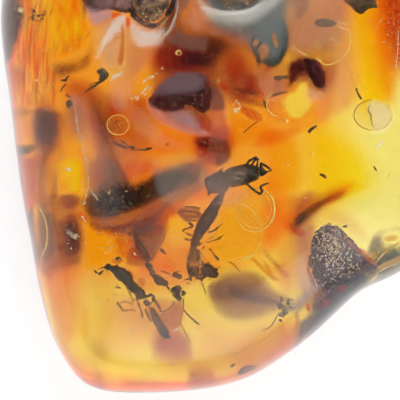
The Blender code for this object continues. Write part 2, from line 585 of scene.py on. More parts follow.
def lump(across, down, height, size, turn=(0.0, 0.0, 0.0), relief=((1.2, 0.5),), detail=5):
    """A rough ball drawn out to its three sizes in millimetres, turned in degrees, its surface
    broken up by each relief's size and strength."""
    deselect_all()
    place = looking_at(across, down, height * MM)
    bpy.ops.mesh.primitive_ico_sphere_add(subdivisions=detail, radius=0.5 * MM, location=place)
    piece = bpy.context.active_object
    piece.scale = size
    piece.rotation_euler = Euler([math.radians(angle) for angle in turn])
    settle(piece)
    for grain, strength in relief:
        displace(piece, grain, strength)
    apply_modifiers(piece)
    return piece


def lumps(name, material, parts):
    return finish_piece(join([lump(*args) for args in parts]), name, material)


def grains(name, material, spots, seed=1):
    """Many small rough grains as one piece: one is modelled and the rest are its copies. A spot
    is (across, down, height, size, how far apart its grains are in pixels, number)."""
    chance = random.Random(seed)
    deselect_all()
    bpy.ops.mesh.primitive_ico_sphere_add(subdivisions=1, radius=0.5)
    pattern = bpy.context.active_object
    displace(pattern, 400.0, 300.0)
    apply_modifiers(pattern)
    parts = []
    for across, down, height, size, spread, number in spots:
        for _ in range(number):
            x, y = (chance.gauss(0.0, spread) for _ in range(2))
            place = looking_at(across + x, down + y, (height + chance.uniform(-0.6, 0.6)) * MM)
            if depth_in_amber(place) < GRAIN_DEPTH:
                continue
            grain = pattern.copy()
            grain.data = pattern.data.copy()
            grain.location = place
            grain.scale = [size * chance.uniform(0.45, 1.35) * PIXEL for _ in range(3)]
            grain.rotation_euler = [chance.uniform(0.0, 6.28) for _ in range(3)]
            bpy.context.scene.collection.objects.link(grain)
            parts.append(grain)
    bpy.data.objects.remove(pattern)
    deselect_all()
    for part in parts:
        part.select_set(True)
    bpy.context.view_layer.objects.active = parts[0]
    bpy.ops.object.transform_apply(location=True, rotation=True, scale=True)
    bpy.ops.object.join()
    return finish_piece(parts[0], name, material)


# ---------------------------------------------------------------- studio


def make_floor():
    deselect_all()
    bpy.ops.mesh.primitive_plane_add(size=3.0, location=(0.0, 0.0, -0.0001))
    floor = bpy.context.active_object
    floor.name = "floor"
    floor.data.materials.append(floor_material())


def make_camera():
    camera_data = bpy.data.cameras.new("camera")
    camera_data.sensor_width = SENSOR_WIDTH
    camera_data.lens = SENSOR_WIDTH * CAMERA_DISTANCE / (IMAGE_SIZE * PIXEL)
    camera_data.clip_start = 10.0 * MM
    camera_data.clip_end = 10.0
    camera = bpy.data.objects.new("camera", camera_data)
    camera.location = VIEW_MIDDLE + Vector((0.0, 0.0, CAMERA_DISTANCE))
    bpy.context.scene.collection.objects.link(camera)
    bpy.context.scene.camera = camera


def make_world():
    """A pale room, dark straight overhead, with soft windows."""
    world = bpy.data.worlds.new("studio")
    world.use_nodes = True
    nodes, links = world.node_tree.nodes, world.node_tree.links
    direction = nodes.new("ShaderNodeTexCoord").outputs["Generated"]
    split = nodes.new("ShaderNodeSeparateXYZ")
    links.new(direction, split.inputs["Vector"])
    strength = ranged(nodes, links, split.outputs["Z"], *ROOM_FADE)
    for towards, fade in WINDOWS:
        nearness = nodes.new("ShaderNodeVectorMath")
        nearness.operation = "DOT_PRODUCT"
        nearness.inputs[1].default_value = Vector(towards).normalized()
        links.new(direction, nearness.inputs[0])
        total = nodes.new("ShaderNodeMath")
        links.new(strength, total.inputs[0])
        links.new(ranged(nodes, links, nearness.outputs["Value"], *fade), total.inputs[1])
        strength = total.outputs[0]
    links.new(strength, nodes["Background"].inputs["Strength"])
    nodes["Background"].inputs["Color"].default_value = (1.0, 1.0, 1.0, 1.0)
    bpy.context.scene.world = world


def make_studio():
    make_floor()
    make_camera()
    make_world()
    scene = bpy.context.scene
    scene.view_settings.view_transform = "Standard"
    scene.cycles.max_bounces = 32
    scene.cycles.transmission_bounces = 24
    scene.cycles.transparent_max_bounces = 64
    scene.cycles.diffuse_bounces = 4
    scene.cycles.glossy_bounces = 8
    scene.cycles.use_denoising = True
    # Guide passes would draw a false outline round every soft cloud, so only the colour is used.
    scene.cycles.denoising_input_passes = "RGB"


# ---------------------------------------------------------------- stained resin, and painted reflections and sheen under the face


FINE = 0.12 * MM  # the mesh size of small or sharp-edged sheets
GRIT = 0.35  # how much of a rotten stain its fine grain takes away
GENTLE = ((), 0.1, (0, 0), FINE)  # the gaps, ripple, tilt and mesh size of such sheets
FILMY = ((), 0.1, (0, 0), 0.1 * MM)  # the same for wings and the thinnest films

# A sheet is an outline, its height and its softness, then what differs from sheet()'s own gaps,
# ripple, tilt and mesh size. What follows a flow's sheets is the look of its stain.

# Where the flows are clear: golden resin, the blob and the arch, and the pale disc.
GOLD_GAPS = (
    ((26, -20, 76, -20, 80, 8, 90, 32, 81, 51, 54, 60, 46, 71, 22, 60, 20, 44, 26, 20), 0.7),
    ((58, 162, 83, 160, 83, 194, 66, 194, 57, 188), 0.3), ((47, 156, 54, 155, 55, 192, 50, 192), 0.2),
    ((84, 224, 110, 230, 128, 240, 128, 266, 84, 272), 0.7), ((130, 122, 158, 112, 164, 120, 138, 134), 0.5),
    ((150, 136, 160, 124, 165, 130, 154, 144), 0.4),
    ((160, 158, 180, 150, 192, 150, 190, 166, 172, 168), 0.5),
    ((164, 214, 190, 220, 186, 262, 166, 262), 0.9),
    ((208, 208, 262, 192, 276, 210, 262, 262, 214, 262), 1.2),
    ((91, 29, 110, 26, 150, 30, 140, 70, 103, 83), 0.8),
)
BLOB_GAPS = (
    ((304, 80, 309, 85, 310, 94, 312, 105, 304, 116, 294, 119, 288, 116, 285, 110, 281, 101, 290, 92, 295,
     91, 298, 84), 0.16),
    ((205, 187.6, 200.4, 187.6, 197.4, 182, 198, 175, 202, 172, 206.6, 173, 206, 180), 0.12),
    ((58, 160, 83, 160, 83, 193, 66, 194, 57, 188), 0.25),
)
DISC_GAP = (
    ((368, 101, 384, 102, 393, 116, 386, 130, 374, 130, 371, 120, 367, 112), 0.2),
)


def make_base_flows():
    """The broad flows of yellow and orange resin, which leave the thin edge pale."""
    flow("straw_flow", [
        ((-60, -140, 200, -150, 480, -130, 520, 60, 490, 260, 330, 400, 180, 430, 20, 430, -30, 200), 2.4,
         0.8, DISC_GAP, 0.4, (0, 0), 0.5 * MM),
    ], (1, 0.93, 0.42), 0.05, 6)
    flow("yellow_flow", [
        ((-40, -130, 150, -125, 359, -110, 401, -20, 383, 63, 367, 219, 372, 300, 310, 390, 180, 410, 60,
         400, -10, 250, -30, 60), 5.6, 4, DISC_GAP, 0.5, (0, 0), 0.3 * MM),
    ], (1, 0.79, 0.26), 0.15, 5)
    flow("orange_flow", [
        ((-40, -130, 150, -125, 319, -105, 366, -21, 348, 62, 323, 169, 328, 291, 182, 296, 61, 320, 30, 379,
         -10, 249, -30, 60), 4.6, 3.4, BLOB_GAPS + GOLD_GAPS[:1], 0.5),
        ((-20, -120, 139, -120, 249, -81, 271, 20, 289, 106, 283, 159, 300, 201, 289, 245, 227, 280, 188,
         289, 85, 288, 61, 321, 19, 258, -10, 89), 3.6, 1.8, GOLD_GAPS, 0.5),
    ], (1, 0.70, 0.46), 0.3, 3.5)


def make_honey_flows():
    """Clear golden resin, streaked where it was drawn out as it ran."""
    flow("honey_flow", [
        ((230, 109, 298, 136, 303, 191, 262, 196, 262, 150, 229, 150), 7, 1),
        ((130, 124, 158, 112, 162, 120, 138, 132), 8.6, 0.3),
        ((152, 134, 162, 124, 165, 130, 154, 142), 8.6, 0.25),
        ((162, 158, 180, 151, 191, 151, 188, 165, 172, 167), 9, 0.3),
        ((84, 306, 90, 308, 91, 338, 83, 338), 8.4, 0.25),
        ((278, 318, 288, 326, 290, 340, 282, 346, 276, 334), 8.4, 0.4),
    ], (0.98, 0.72, 0.05), 0.12, 1.4)
    flow("golden_sheet", [
        ((22, -60, 80, -60, 82, 8, 89, 24, 92, 36, 85, 48, 70, 57, 54, 62, 46, 74, 34, 70, 15, 64, 21, 20),
         8.6, 0.35),
        ((22, -60, 77, -60, 80, 6, 88, 34, 79, 50, 53, 60, 44, 72, 32, 68, 17, 61, 23, 20), 7.8, 0.6),
        ((204, 208, 232, 204, 271, 202, 263, 260, 214, 263), 7.4, 1),
        ((84, 222, 108, 230, 127, 242, 126, 264, 98, 272, 84, 270), 7.6, 0.5),
        ((85, 225, 123, 245, 121, 262, 98, 268, 84, 266), 8.2, 0.6),
        ((345, -60, 404, -60, 402, 41, 396, 111, 357, 122, 352, 40), 4.8, 1.4, DISC_GAP, 0.2),
        ((340, -60, 404, -60, 400, 60, 390, 110, 356, 112, 346, 40), 6.8, 1.4, DISC_GAP, 0.2),
        ((299, 113, 367, 133, 391, 185, 357, 217, 300, 210), 5.4, 2.4),
        ((330, 180, 352, 176, 372, 186, 352, 200, 322, 206), 6, 0.8),
        ((57, 160, 83, 160, 82, 193, 66, 194, 57, 188), 7.6, 0.25, *GENTLE),
        ((47, 157, 54, 156, 55, 190, 50, 190), 7.6, 0.15, *GENTLE),
    ], (1, 0.84, 0.03), 0.04, 2)
    flow("streaky_sheet", [
        ((20, -60, 54, -60, 56, 8, 53, 40, 52, 63, 45, 74, 17, 66, 18, 43, 20, 19), 9.2, 0.5, *GENTLE),
        ((4, 64, 30, 64, 58, 68, 59, 104, 36, 108, 13, 105), 9.4, 0.5, *GENTLE),
    ], (0.88, 0.42, 0.03), 1, 1, stretch=(0.2, 2.8, 1), turn=-0.16, contrast=0.09, level=0.52)
    flow("swirled_sheet", [
        ((50, -61, 81, -59, 81, 6, 90, 27, 86, 47, 55, 60, 50, 38), 9, 0.5, *GENTLE),
    ], (0.94, 0.52, 0.06), 1, 1, stretch=(0.4, 2, 1), turn=-0.5, contrast=0.12)
    flow("shining_streaks", [
        ((19, 3, 44, -3, 57, 52, 46, 72, 30, 69, 14, 63), 9.8, 0.8, *GENTLE),
        ((8, 65, 54, 72, 56, 103, 15, 105, 9, 86), 9.8, 0.6, *GENTLE),
    ], (1, 0.9, 0.3), 1, 1, stretch=(0.16, 2.2, 1), turn=-0.1, film=0.85, film_colour=(1, 0.68, 0.06),
       contrast=0.05, through=0.85, level=0.58)
    flow("bright_sliver", [
        ((99, 136, 104, 137, 110, 146, 106, 147, 100, 141), 9.6, 0.1, *GENTLE),
        ((111, 131, 117, 132, 124, 142, 118, 141), 9.6, 0.1, *GENTLE),
        ((262, 258, 270, 266, 276, 276, 284, 280, 276, 281, 266, 272), 9.6, 0.16, *GENTLE),
        ((248, 257, 256, 258, 268, 270, 278, 281, 269, 279), 9.6, 0.16, *GENTLE),
    ], (1, 0.8, 0.2), 0.2, 0.6, film=0.75, film_colour=(1, 0.62, 0.05), through=0.8)


def make_slivers():
    """Fine bright cracks where the golden resin was drawn out."""
    chance = random.Random(11)
    lines = []
    for left, top, wide, high, lean, length, number in (
        (24, 2, 26, 58, -0.22, 16, 26), (16, 64, 40, 34, -0.08, 13, 24),
        (56, 34, 26, 20, -0.9, 7, 14), (44, 40, 10, 50, -0.04, 18, 6),
    ):
        for _ in range(number):
            x, y = left + chance.uniform(0, wide), top + chance.uniform(0, high)
            x += lean * (y - top - high / 2)
            half = length * chance.uniform(0.3, 0.7)
            width = chance.uniform(0.6, 1.5)
            bow = chance.uniform(-1, 1)
            lines.append([(x - lean * half, y - half, 0.2), (x + bow, y, width),
                          (x + lean * half, y + half, 0.2)])
    gold = glowing_material("gold_slivers", (1, 0.60, 0.06), (1, 0.86, 0.28))
    strands("gold_slivers", gold, lines, 10.2, 2)


def make_red_flows():
    """Deep orange and red resin."""
    flow("deep_orange_flow", [
        ((50, 70, 100, 85, 101, 114, 55, 105), 6.2, 1),
        ((262, 128, 300, 124, 302, 136, 272, 150, 250, 148), 8.4, 0.7),
        ((104, 100, 150, 92, 200, 120, 231, 118, 237, 151, 151, 163, 110, 150), 7, 1, GOLD_GAPS, 0.2),
        ((104, 151, 176, 162, 170, 198, 114, 197), 4.4, 1.4),
        ((261, 198, 312, 190, 318, 206, 300, 222, 282, 250, 261, 254), 5.2, 1),
        ((95, 271, 150, 262, 210, 256, 226, 268, 200, 286, 150, 299), 5, 0.9),
        ((165, 241, 192, 245, 190, 262, 150, 282, 135, 265), 5.4, 0.8),
        ((224, 47, 246, 52, 244, 78, 223, 78), 9, 0.9),
        ((118, 84, 128, 100, 124, 122, 112, 128, 104, 108), 6, 0.9),
        ((42, 262, 84, 262, 84, 332, 62, 344, 46, 300), 6, 0.8),
        ((60, 354, 100, 368, 106, 392, 76, 396), 4.6, 0.6),
        ((114, 372, 150, 370, 196, 382, 190, 398, 130, 392), 4.4, 0.6),
        ((20, -40, 32, -40, 28, 10, 22, 50, 14, 68, 8, 66, 14, 40, 18, 10), 8.4, 0.4),
        ((144, 45, 169, 46, 159, 73, 145, 68), 8, 0.7),
        ((230, 258, 262, 262, 300, 262, 290, 300, 262, 270, 232, 272), 6, 0.8),
        ((358, -61, 411, -60, 411, 78, 387, 118, 357, 63), 6, 2),
        ((365, -54, 411, -60, 408, 73, 379, 93), 7.4, 1.2),
        ((318, -40, 372, -40, 376, 60, 362, 110, 334, 112, 324, 60), 6.6, 2.4),
        ((1, 20, 12, 61, 30, 189, 34, 230, 22, 230, 8, 160, -6, 61), 6.6, 0.6),
        ((30, 232, 40, 280, 56, 340, 44, 350, 24, 270), 6.6, 0.5),
        ((48, 326, 60, 346, 77, 363, 107, 374, 199, 374, 261, 353, 299, 330, 310, 350, 261, 392, 160, 404,
         80, 398, 44, 350), 6.2, 0.5),
        ((60, 362, 90, 378, 130, 382, 180, 381, 222, 376, 256, 364, 262, 392, 160, 404, 80, 398), 6.8, 0.3),
        ((280, 214, 346, 179, 354, 192, 326, 212, 308, 234, 288, 242), 6.6, 0.8),
        ((265, 330, 297, 314, 298, 347, 270, 366, 256, 356), 6.6, 0.9),
        ((259, 86, 337, 87, 328, 133, 271, 129), 6.4, 1.2, BLOB_GAPS, 0.2),
        ((182, 159, 217, 162, 217, 201, 188, 201), 9.6, 0.8, BLOB_GAPS, 0.1),
    ], (0.97, 0.52, 0.26), 0.45, 1.6, contrast=0.2)
    flow("red_flow", [
        ((188, 134, 221, 130, 237, 146, 219, 169, 194, 164), 6.4, 0.8),
        ((84, 208, 110, 224, 150, 214, 198, 196, 186, 212, 171, 223, 167, 236, 130, 231, 110, 240, 88, 228),
         6, 0.6),
        ((109, 165, 152, 154, 154, 172, 134, 184, 112, 196), 6.6, 0.8),
        ((174, 44, 209, 48, 209, 75, 168, 72), 8, 1.2),
        ((110, 230, 138, 232, 154, 250, 140, 266, 116, 260), 6.6, 0.9),
        ((216, 57, 250, 54, 277, 102, 227, 114), 7, 1.8),
        ((373, -57, 440, -59, 450, 40, 430, 76, 395, 76, 380, 48), 6.8, 1.4),
        ((379, -56, 438, -62, 441, 39, 389, 60), 6.2, 1.4),
        ((148, 330, 184, 325, 193, 366, 154, 366), 6.2, 1.2),
        ((186, 368, 205, 364, 220, 372, 210, 386, 190, 386), 6.2, 0.5),
        ((306, 316, 330, 300, 346, 300, 330, 322, 308, 338), 6.2, 0.8),
        ((195, 139, 222, 136, 230, 150, 222, 166, 203, 163), 8.6, 0.5),
        ((150, 44, 196, 36, 216, 50, 212, 74, 190, 72, 160, 78), 7.2, 1),
        ((156, 50, 190, 44, 204, 58, 194, 74, 158, 76), 8.6, 0.7),
        ((164, 56, 190, 50, 200, 62, 190, 72, 166, 72), 9.2, 0.6),
        ((16, 160, 36, 154, 38, 176, 38, 202, 28, 212), 6.4, 0.4),
        ((34, 106, 64, 116, 62, 152, 40, 156, 30, 130), 5.8, 0.8),
        ((60, 218, 84, 212, 84, 262, 62, 262), 5.8, 0.7),
        ((284, 222, 298, 224, 308, 234, 304, 240, 292, 234), 8, 0.4),
        ((77, 262, 83, 262, 83, 332, 78, 334), 5.8, 0.3),
        ((188, 370, 205, 366, 216, 374, 208, 384, 192, 384), 4.6, 0.6),
        ((78, 110, 96, 110, 104, 122, 98, 136, 84, 134), 6, 0.8),
        ((156, 202, 176, 198, 190, 192, 196, 198, 176, 214, 160, 214), 7.6, 0.8),
        ((236, 66, 260, 70, 270, 92, 258, 104, 236, 96), 7.4, 1.4),
        ((240, 106, 252, 108, 262, 114, 262, 122, 250, 120, 240, 112), 9.6, 0.16, *GENTLE),
    ], (0.70, 0.13, 0.15), 0.45, 1.4, film=0.06, film_colour=(0.4, 0.2, 0.24), contrast=0.22, grit=GRIT)
    flow("ember_flow", [
        ((34, 144, 40, 142, 42, 150, 38, 158, 33, 152), 7, 0.3),
        ((62, 212, 72, 212, 73, 218, 64, 218), 7.6, 0.25), ((76, 211, 86, 212, 88, 221, 79, 222), 7.6, 0.25),
        ((96, 172, 102, 172, 102, 184, 96, 182), 7.4, 0.3),
        ((126, 16, 131, 18, 131, 26, 126, 30, 124.6, 22), 13.9, 0.2, *GENTLE),
        ((111, 13, 122, 11, 122, 15, 114, 20, 111, 19), 13.9, 0.2, *GENTLE),
        ((219, 83, 227, 83, 228, 90, 221, 92), 9.4, 0.15, *GENTLE),
        ((17, 20, 22, 10, 20, 40, 15, 58, 11, 66, 8, 66, 13, 52), 7.2, 0.25),
        ((292, 226, 302, 227, 307, 235, 300, 239, 292, 234), 8.4, 0.3),
        ((318, 204, 326, 196, 346, 188, 344, 198, 326, 208), 6.6, 0.5),
        ((264, 68, 272, 68, 272, 71, 265, 71), 9.4, 0.1, *GENTLE),
    ], (1, 0.25, 0.10), 0.3, 1)


def make_dark_flows():
    """The brown, smoky and plum-coloured bands, and the dark flow lines."""
    flow("brown_flow", [
        ((48, 61, 80, 54, 96, 29, 93, 67, 53, 80), 9.4, 0.9),
        ((52, 62, 74, 60, 88, 50, 91, 70, 56, 81), 10, 0.8),
        ((20, 64, 26, 66, 27, 84, 22, 92, 19, 84), 8.6, 0.25),
        ((12, 107, 30, 106, 32, 117, 14, 119), 8, 0.4),
        ((36, 156, 46, 158, 49, 190, 46, 198, 36, 196), 7.2, 0.3),
        ((54, 158, 58, 158, 58, 196, 54, 194), 7.4, 0.15, *GENTLE),
        ((44, 192, 58, 192, 82, 194, 82, 212, 64, 214, 44, 222, 34, 206), 7, 0.5),
        ((58, 196, 80, 194, 82, 204, 66, 210), 7.8, 0.4),
        ((38, 210, 79, 225, 84, 262, 66, 272, 48, 282, 36, 263), 7.4, 0.9),
        ((56, 216, 82, 214, 84, 262, 66, 268, 56, 250), 8, 0.7),
        ((151, 19, 180, 0, 190, 30, 206, 36, 197, 54, 153, 45), 8, 0.9),
        ((188, 31, 215, 32, 249, 53, 226, 50, 219, 66, 222, 84, 206, 71), 8.2, 0.8),
        ((201, 31, 231, 41, 224, 56, 209, 71), 9.2, 0.7),
        ((202, 31, 245, 45, 224, 64, 218, 76, 204, 66), 9.8, 1.4),
        ((296, 212, 326, 196, 345, 190, 342, 199, 322, 209, 306, 226, 293, 231), 7.6, 0.4),
        ((292, 218, 316, 200, 338, 193, 310, 222, 296, 230), 8.6, 0.5),
        ((288, 219, 345, 186, 308, 227, 291, 238), 7, 0.9),
        ((206, 284, 222, 282, 224, 300, 210, 302), 9.6, 0.4),
        ((370, 234, 384, 230, 404, 226, 404, 234, 392, 234, 384, 240, 386, 250, 376, 250, 370, 264, 364,
         256), 7.6, 0.3),
        ((232, 86, 262, 90, 262, 96, 240, 95), 9.4, 0.25),
        ((236, 96, 250, 98, 268, 104, 262, 108, 244, 103), 9.2, 0.25),
        ((88, 334, 110, 336, 112, 366, 90, 364), 5.4, 0.9),
        ((84, 372, 106, 376, 104, 392, 88, 392), 4.4, 0.5),
        ((186, 372, 216, 366, 226, 380, 206, 392, 186, 390), 5, 0.6),
        ((262, 245, 272, 256, 290, 275, 284, 278, 264, 256), 9, 0.25),
        ((83, 91, 96, 93, 115, 131, 108, 150, 87, 122), 8.4, 0.8),
        ((85, 158, 122, 155, 121, 193, 87, 203), 8.4, 0.8),
        ((178, 162, 204, 160, 202, 184, 183, 191), 8.4, 0.6),
        ((147, 174, 192, 161, 198, 183, 159, 201), 8.8, 0.5),
    ], (0.42, 0.25, 0.22), 0.45, 1.4, film=0.16, film_colour=(0.34, 0.19, 0.13), contrast=0.22, grit=GRIT)
    flow("smoky_flow", [
        ((15, 145, 32, 143, 32, 155, 16, 159), 7, 0.4),
        ((28, 212, 36, 208, 38, 236, 42, 256, 38, 268, 31, 250), 6.4, 0.4),
        ((46, 215, 55, 214, 61, 230, 57, 249, 50, 248), 7.8, 0.5),
        ((127, 191, 171, 168, 185, 176, 170, 195, 129, 214), 8.2, 0.5),
        ((111, 191, 176, 166, 192, 182, 135, 213, 101, 219), 7.2, 0.8),
        ((366, 256, 384, 248, 404, 240, 403, 264, 371, 276), 7, 0.4),
        ((297, 214, 306, 210, 308, 219, 300, 226, 295, 222), 9, 0.4),
        ((224, 288, 240, 288, 258, 294, 280, 300, 277, 305, 256, 305, 230, 298), 9.6, 0.35),
        ((276, 306, 284, 304, 294, 310, 288, 312, 278, 310), 10.2, 0.15, *GENTLE),
    ], (0.10, 0.075, 0.06), 0.3, 1.8, film=0.5, film_colour=(0.070, 0.055, 0.042), contrast=0.2, grit=GRIT)
    flow("edge_smoke", [
        ((-20, -60, 22, -60, 24, 4, 20, 26, 16, 46, 10, 63, 0, 62, -20, 20), 8.4, 0.3),
        ((-20, -60, 22, -60, 24, 2, 15, 46, 3, 65, -20, 19), 7.2, 0.3),
        ((-20, -60, 21, -60, 23, 4, 14, 46, 8, 62, 0, 60, -20, 20), 6, 0.3),
        ((-6, 50, 7, 92, 26, 216, 36, 273, 28, 279, 0, 179, -20, 81), 7.4, 0.3),
        ((-6, 50, 8, 90, 20, 170, 28, 220, 37, 272, 28, 280, 0, 180, -20, 80), 6, 0.3),
        ((290, 352, 316, 330, 366, 284, 404, 262, 410, 296, 340, 360, 296, 376), 4.8, 0.4),
        ((296, 354, 320, 334, 370, 288, 404, 270, 410, 296, 340, 360), 6.4, 0.3),
    ], (0.20, 0.10, 0.07), 0.4, 1.4, film=0.12, film_colour=(0.10, 0.06, 0.05), grit=GRIT)
    flow("plum_flow", [
        ((32, 108, 53, 106, 66, 121, 50, 162, 31, 134, 34, 121), 7.8, 0.8),
        ((38, 112, 60, 114, 56, 144, 40, 142, 42, 126), 8.6, 0.7),
        ((29, 114, 43, 106, 53, 120, 45, 151, 33, 142), 9.6, 0.6),
        ((60, 225, 79, 219, 85, 248, 67, 255), 7.8, 0.7),
        ((194, 137, 227, 138, 231, 160, 216, 168, 212, 154, 198, 150), 7.4, 0.4),
        ((178, 52, 199, 46, 214, 59, 205, 73, 181, 66), 9.6, 0.8),
        ((84, 216, 100, 222, 124, 222, 140, 214, 136, 226, 118, 234, 92, 230), 8, 0.6),
        ((76, -40, 90, -40, 88, 4, 86, 20, 82, 22, 80, 8), 9, 0.3),
        ((160, 30, 168, 17, 173, 0, 178, -20, 177, 12, 171, 27, 163, 38), 11, 0.2),
    ], (0.13, 0.035, 0.075), 0.4, 0.9, film=0.5, film_colour=(0.105, 0.05, 0.085), contrast=0.2, grit=GRIT)
    flow("slate_flow", [
        ((81, 199, 100, 180, 103, 165, 117, 161, 137, 188, 134, 210, 113, 221, 89, 219), 10, 0.6),
        ((92, 198, 118, 181, 132, 197, 124, 212, 104, 216), 10.8, 0.5),
        ((104, 158, 114, 156, 122, 170, 112, 180, 104, 172), 10.4, 0.5),
    ], (0.10, 0.06, 0.09), 0.35, 1.2, film=0.7, film_colour=(0.065, 0.052, 0.085), contrast=0.2, grit=GRIT)
    flow("olive_flow", [
        ((277, 16, 284, 17, 289, 26, 291, 41, 285, 60, 275, 69, 267, 68, 262, 65, 258, 71, 254, 59, 249, 45,
         252, 35, 265, 29), 12.3, 0.3, *GENTLE),
        ((284, 26, 288, 34, 288, 48, 282, 60, 272, 67, 266, 62, 276, 55, 281, 46, 280, 34), 12.5, 0.2,
         *GENTLE),
        ((274, 76, 288, 75, 290, 78, 276, 81), 11.8, 0.12, *GENTLE),
        ((290, 92, 282, 91, 272, 94, 268, 98, 274, 97, 284, 94), 11.8, 0.1, *GENTLE),
        ((262, 100, 268, 102, 269, 108, 264, 108), 11, 0.15, *GENTLE),
    ], (0.10, 0.11, 0.09), 0.2, 1, film=0.9, film_colour=(0.070, 0.095, 0.095), grit=GRIT)
    flow("chestnut_flow", [
        ((217, 274, 246, 268, 265, 274, 276, 288, 295, 296, 294, 308, 249, 324, 219, 319, 204, 293), 8.6,
         0.8),
        ((217, 280, 250, 281, 270, 294, 259, 305, 218, 302), 9, 0.6),
    ], (0.52, 0.32, 0.42), 0.3, 1.2, film=0.5, film_colour=(0.36, 0.235, 0.22), grit=0.2)


def make_mauve_flows():
    """Darker, purplish resin, laid over itself where it is darkest."""
    flow("mauve_flow", [
        ((157, -67, 345, -64, 335, 56, 241, 60, 192, 69, 151, 50), 7.8, 1.6),
        ((165, 18, 286, 17, 262, 97, 166, 112, 146, 78), 6.8, 1.4),
        ((147, 48, 209, 43, 225, 106, 158, 111), 8.4, 1), ((167, 59, 212, 53, 216, 104, 171, 91), 9.2, 1),
        ((196, 37, 244, 46, 270, 99, 240, 112, 214, 90), 8.8, 1.2),
        ((24, 104, 64, 109, 60, 195, 32, 201), 7.2, 1, GOLD_GAPS, 0.2),
        ((32, 104, 59, 106, 64, 142, 47, 164, 30, 149), 8.2, 0.9),
        ((62, 74, 104, 84, 120, 112, 123, 204, 86, 209, 84, 140, 62, 111), 6.4, 1),
        ((78, 196, 130, 180, 200, 158, 212, 186, 170, 216, 140, 244, 90, 232), 6.6, 1),
        ((87, 201, 172, 197, 163, 226, 130, 240, 98, 230), 7.8, 0.9),
        ((46, 206, 84, 204, 88, 262, 62, 276, 42, 262), 6.8, 1),
        ((60, 216, 84, 212, 86, 262, 64, 266), 7.8, 0.9),
        ((128, 222, 168, 218, 166, 246, 152, 268, 132, 266), 7.6, 0.7),
        ((150, 330, 190, 328, 196, 362, 172, 372, 150, 362), 7, 0.8),
        ((284, 200, 320, 186, 346, 184, 350, 200, 322, 222, 318, 262, 297, 287), 7, 1.2),
        ((282, 14, 351, 6, 342, 92, 294, 93), 7.4, 1.4, BLOB_GAPS, 0.2),
        ((260, 60, 322, 62, 330, 96, 310, 98, 292, 90, 264, 103), 7.8, 0.8, BLOB_GAPS, 0.2),
        ((196, 126, 232, 124, 236, 160, 212, 172, 194, 160), 8.2, 0.8),
        ((84, 100, 150, 90, 160, 140, 130, 170, 90, 160), 5, 1.6),
        ((302, 269, 368, 257, 349, 307, 312, 344, 290, 340, 292, 300), 5.4, 1.4),
        ((84, 196, 110, 220, 140, 214, 170, 200, 160, 222, 130, 238, 88, 226), 8.6, 0.6),
    ], (0.66, 0.44, 0.72), 0.4, 2, film=0.10, film_colour=(0.40, 0.32, 0.42), contrast=0.22)


def make_painted_reflections():
    """Faint bluish films close under the face: painted reflections of the studio lights off the polished
    face.
    """
    flow("painted_reflection_flow", [
        ((62, 99, 82, 95, 115, 159, 128, 200, 119, 227, 92, 224, 76, 151), 13, 1),
        ((30, 104, 60, 108, 66, 140, 49, 161, 40, 229, 29, 131), 11.6, 0.9),
        ((146, 166, 159, 154, 214, 150, 236, 160, 233, 192, 211, 244, 174, 217), 13.8, 0.5),
        ((67, 272, 131, 258, 199, 268, 266, 274, 320, 214, 346, 263, 330, 320, 291, 349, 225, 366, 93, 356),
         12.8, 1.6),
        ((180, -60, 330, -60, 350, -1, 342, 47, 291, 56, 261, 60, 230, 40, 196, 30), 13.6, 1.2),
        ((63, 99, 91, 92, 105, 140, 71, 146), 12, 0.9),
        ((92, 216, 128, 214, 166, 204, 170, 250, 140, 262, 120, 240), 12.6, 1.2),
        ((212, 84, 226, 90, 234, 120, 228, 146, 206, 138), 13, 0.7),
        ((288, 228, 325, 207, 347, 250, 360, 268, 330, 300, 293, 327), 12.6, 1.2),
        ((252, 66, 284, 70, 290, 90, 270, 104, 256, 90), 13.2, 0.9),
    ], (1, 1, 1), 0.35, 3, film=0.085, film_colour=(0.74, 0.80, 0.98), through=0.1)


def make_painted_sheens():
    """Rosy films close under the face, lit from both sides: a painted sheen of reflected light laid over the
    darker resin.
    """
    flow("rosy_painted_sheen", [
        ((92, 128, 144, 143, 149, 177, 110, 196, 85, 203), 12, 1.2),
        ((146, 232, 205, 231, 210, 293, 140, 284), 13.2, 1.2),
        ((106, 292, 180, 290, 196, 322, 150, 340, 112, 326), 13, 1.2),
        ((286, -50, 356, -50, 356, 40, 350, 109, 331, 112, 325, 56, 286, 56), 13, 1),
        ((258, 78, 284, 84, 290, 92, 280, 108, 262, 104), 12.8, 0.8),
        ((312, 95, 331, 75, 350, 60, 352, 106, 319, 126), 12.6, 0.7),
        ((124, 100, 150, 110, 170, 134, 194, 144, 184, 154, 150, 152, 128, 130), 12.4, 1),
        ((204, 180, 240, 180, 250, 200, 226, 212, 206, 206), 13.2, 0.8),
        ((206, 182, 238, 182, 244, 200, 224, 208), 13.6, 0.6),
        ((141, 112, 175, 138, 192, 146, 176, 152, 150, 142), 12.8, 0.8),
        ((84, 140, 110, 136, 134, 150, 124, 180, 92, 190), 12.8, 1.2),
        ((204, 164, 246, 164, 246, 184, 206, 196), 14, 0.6),
        ((290, 258, 312, 250, 322, 280, 332, 296, 306, 308, 286, 292), 12.8, 0.9),
        ((176, -20, 206, -20, 212, 30, 190, 34, 176, 20), 13, 0.8),
        ((140, 10, 176, 16, 170, 46, 140, 50, 124, 30), 13.2, 0.8),
    ], (1, 0.95, 0.95), 0.4, 2.4, film=0.2, film_colour=(1, 0.64, 0.56), through=0.35)


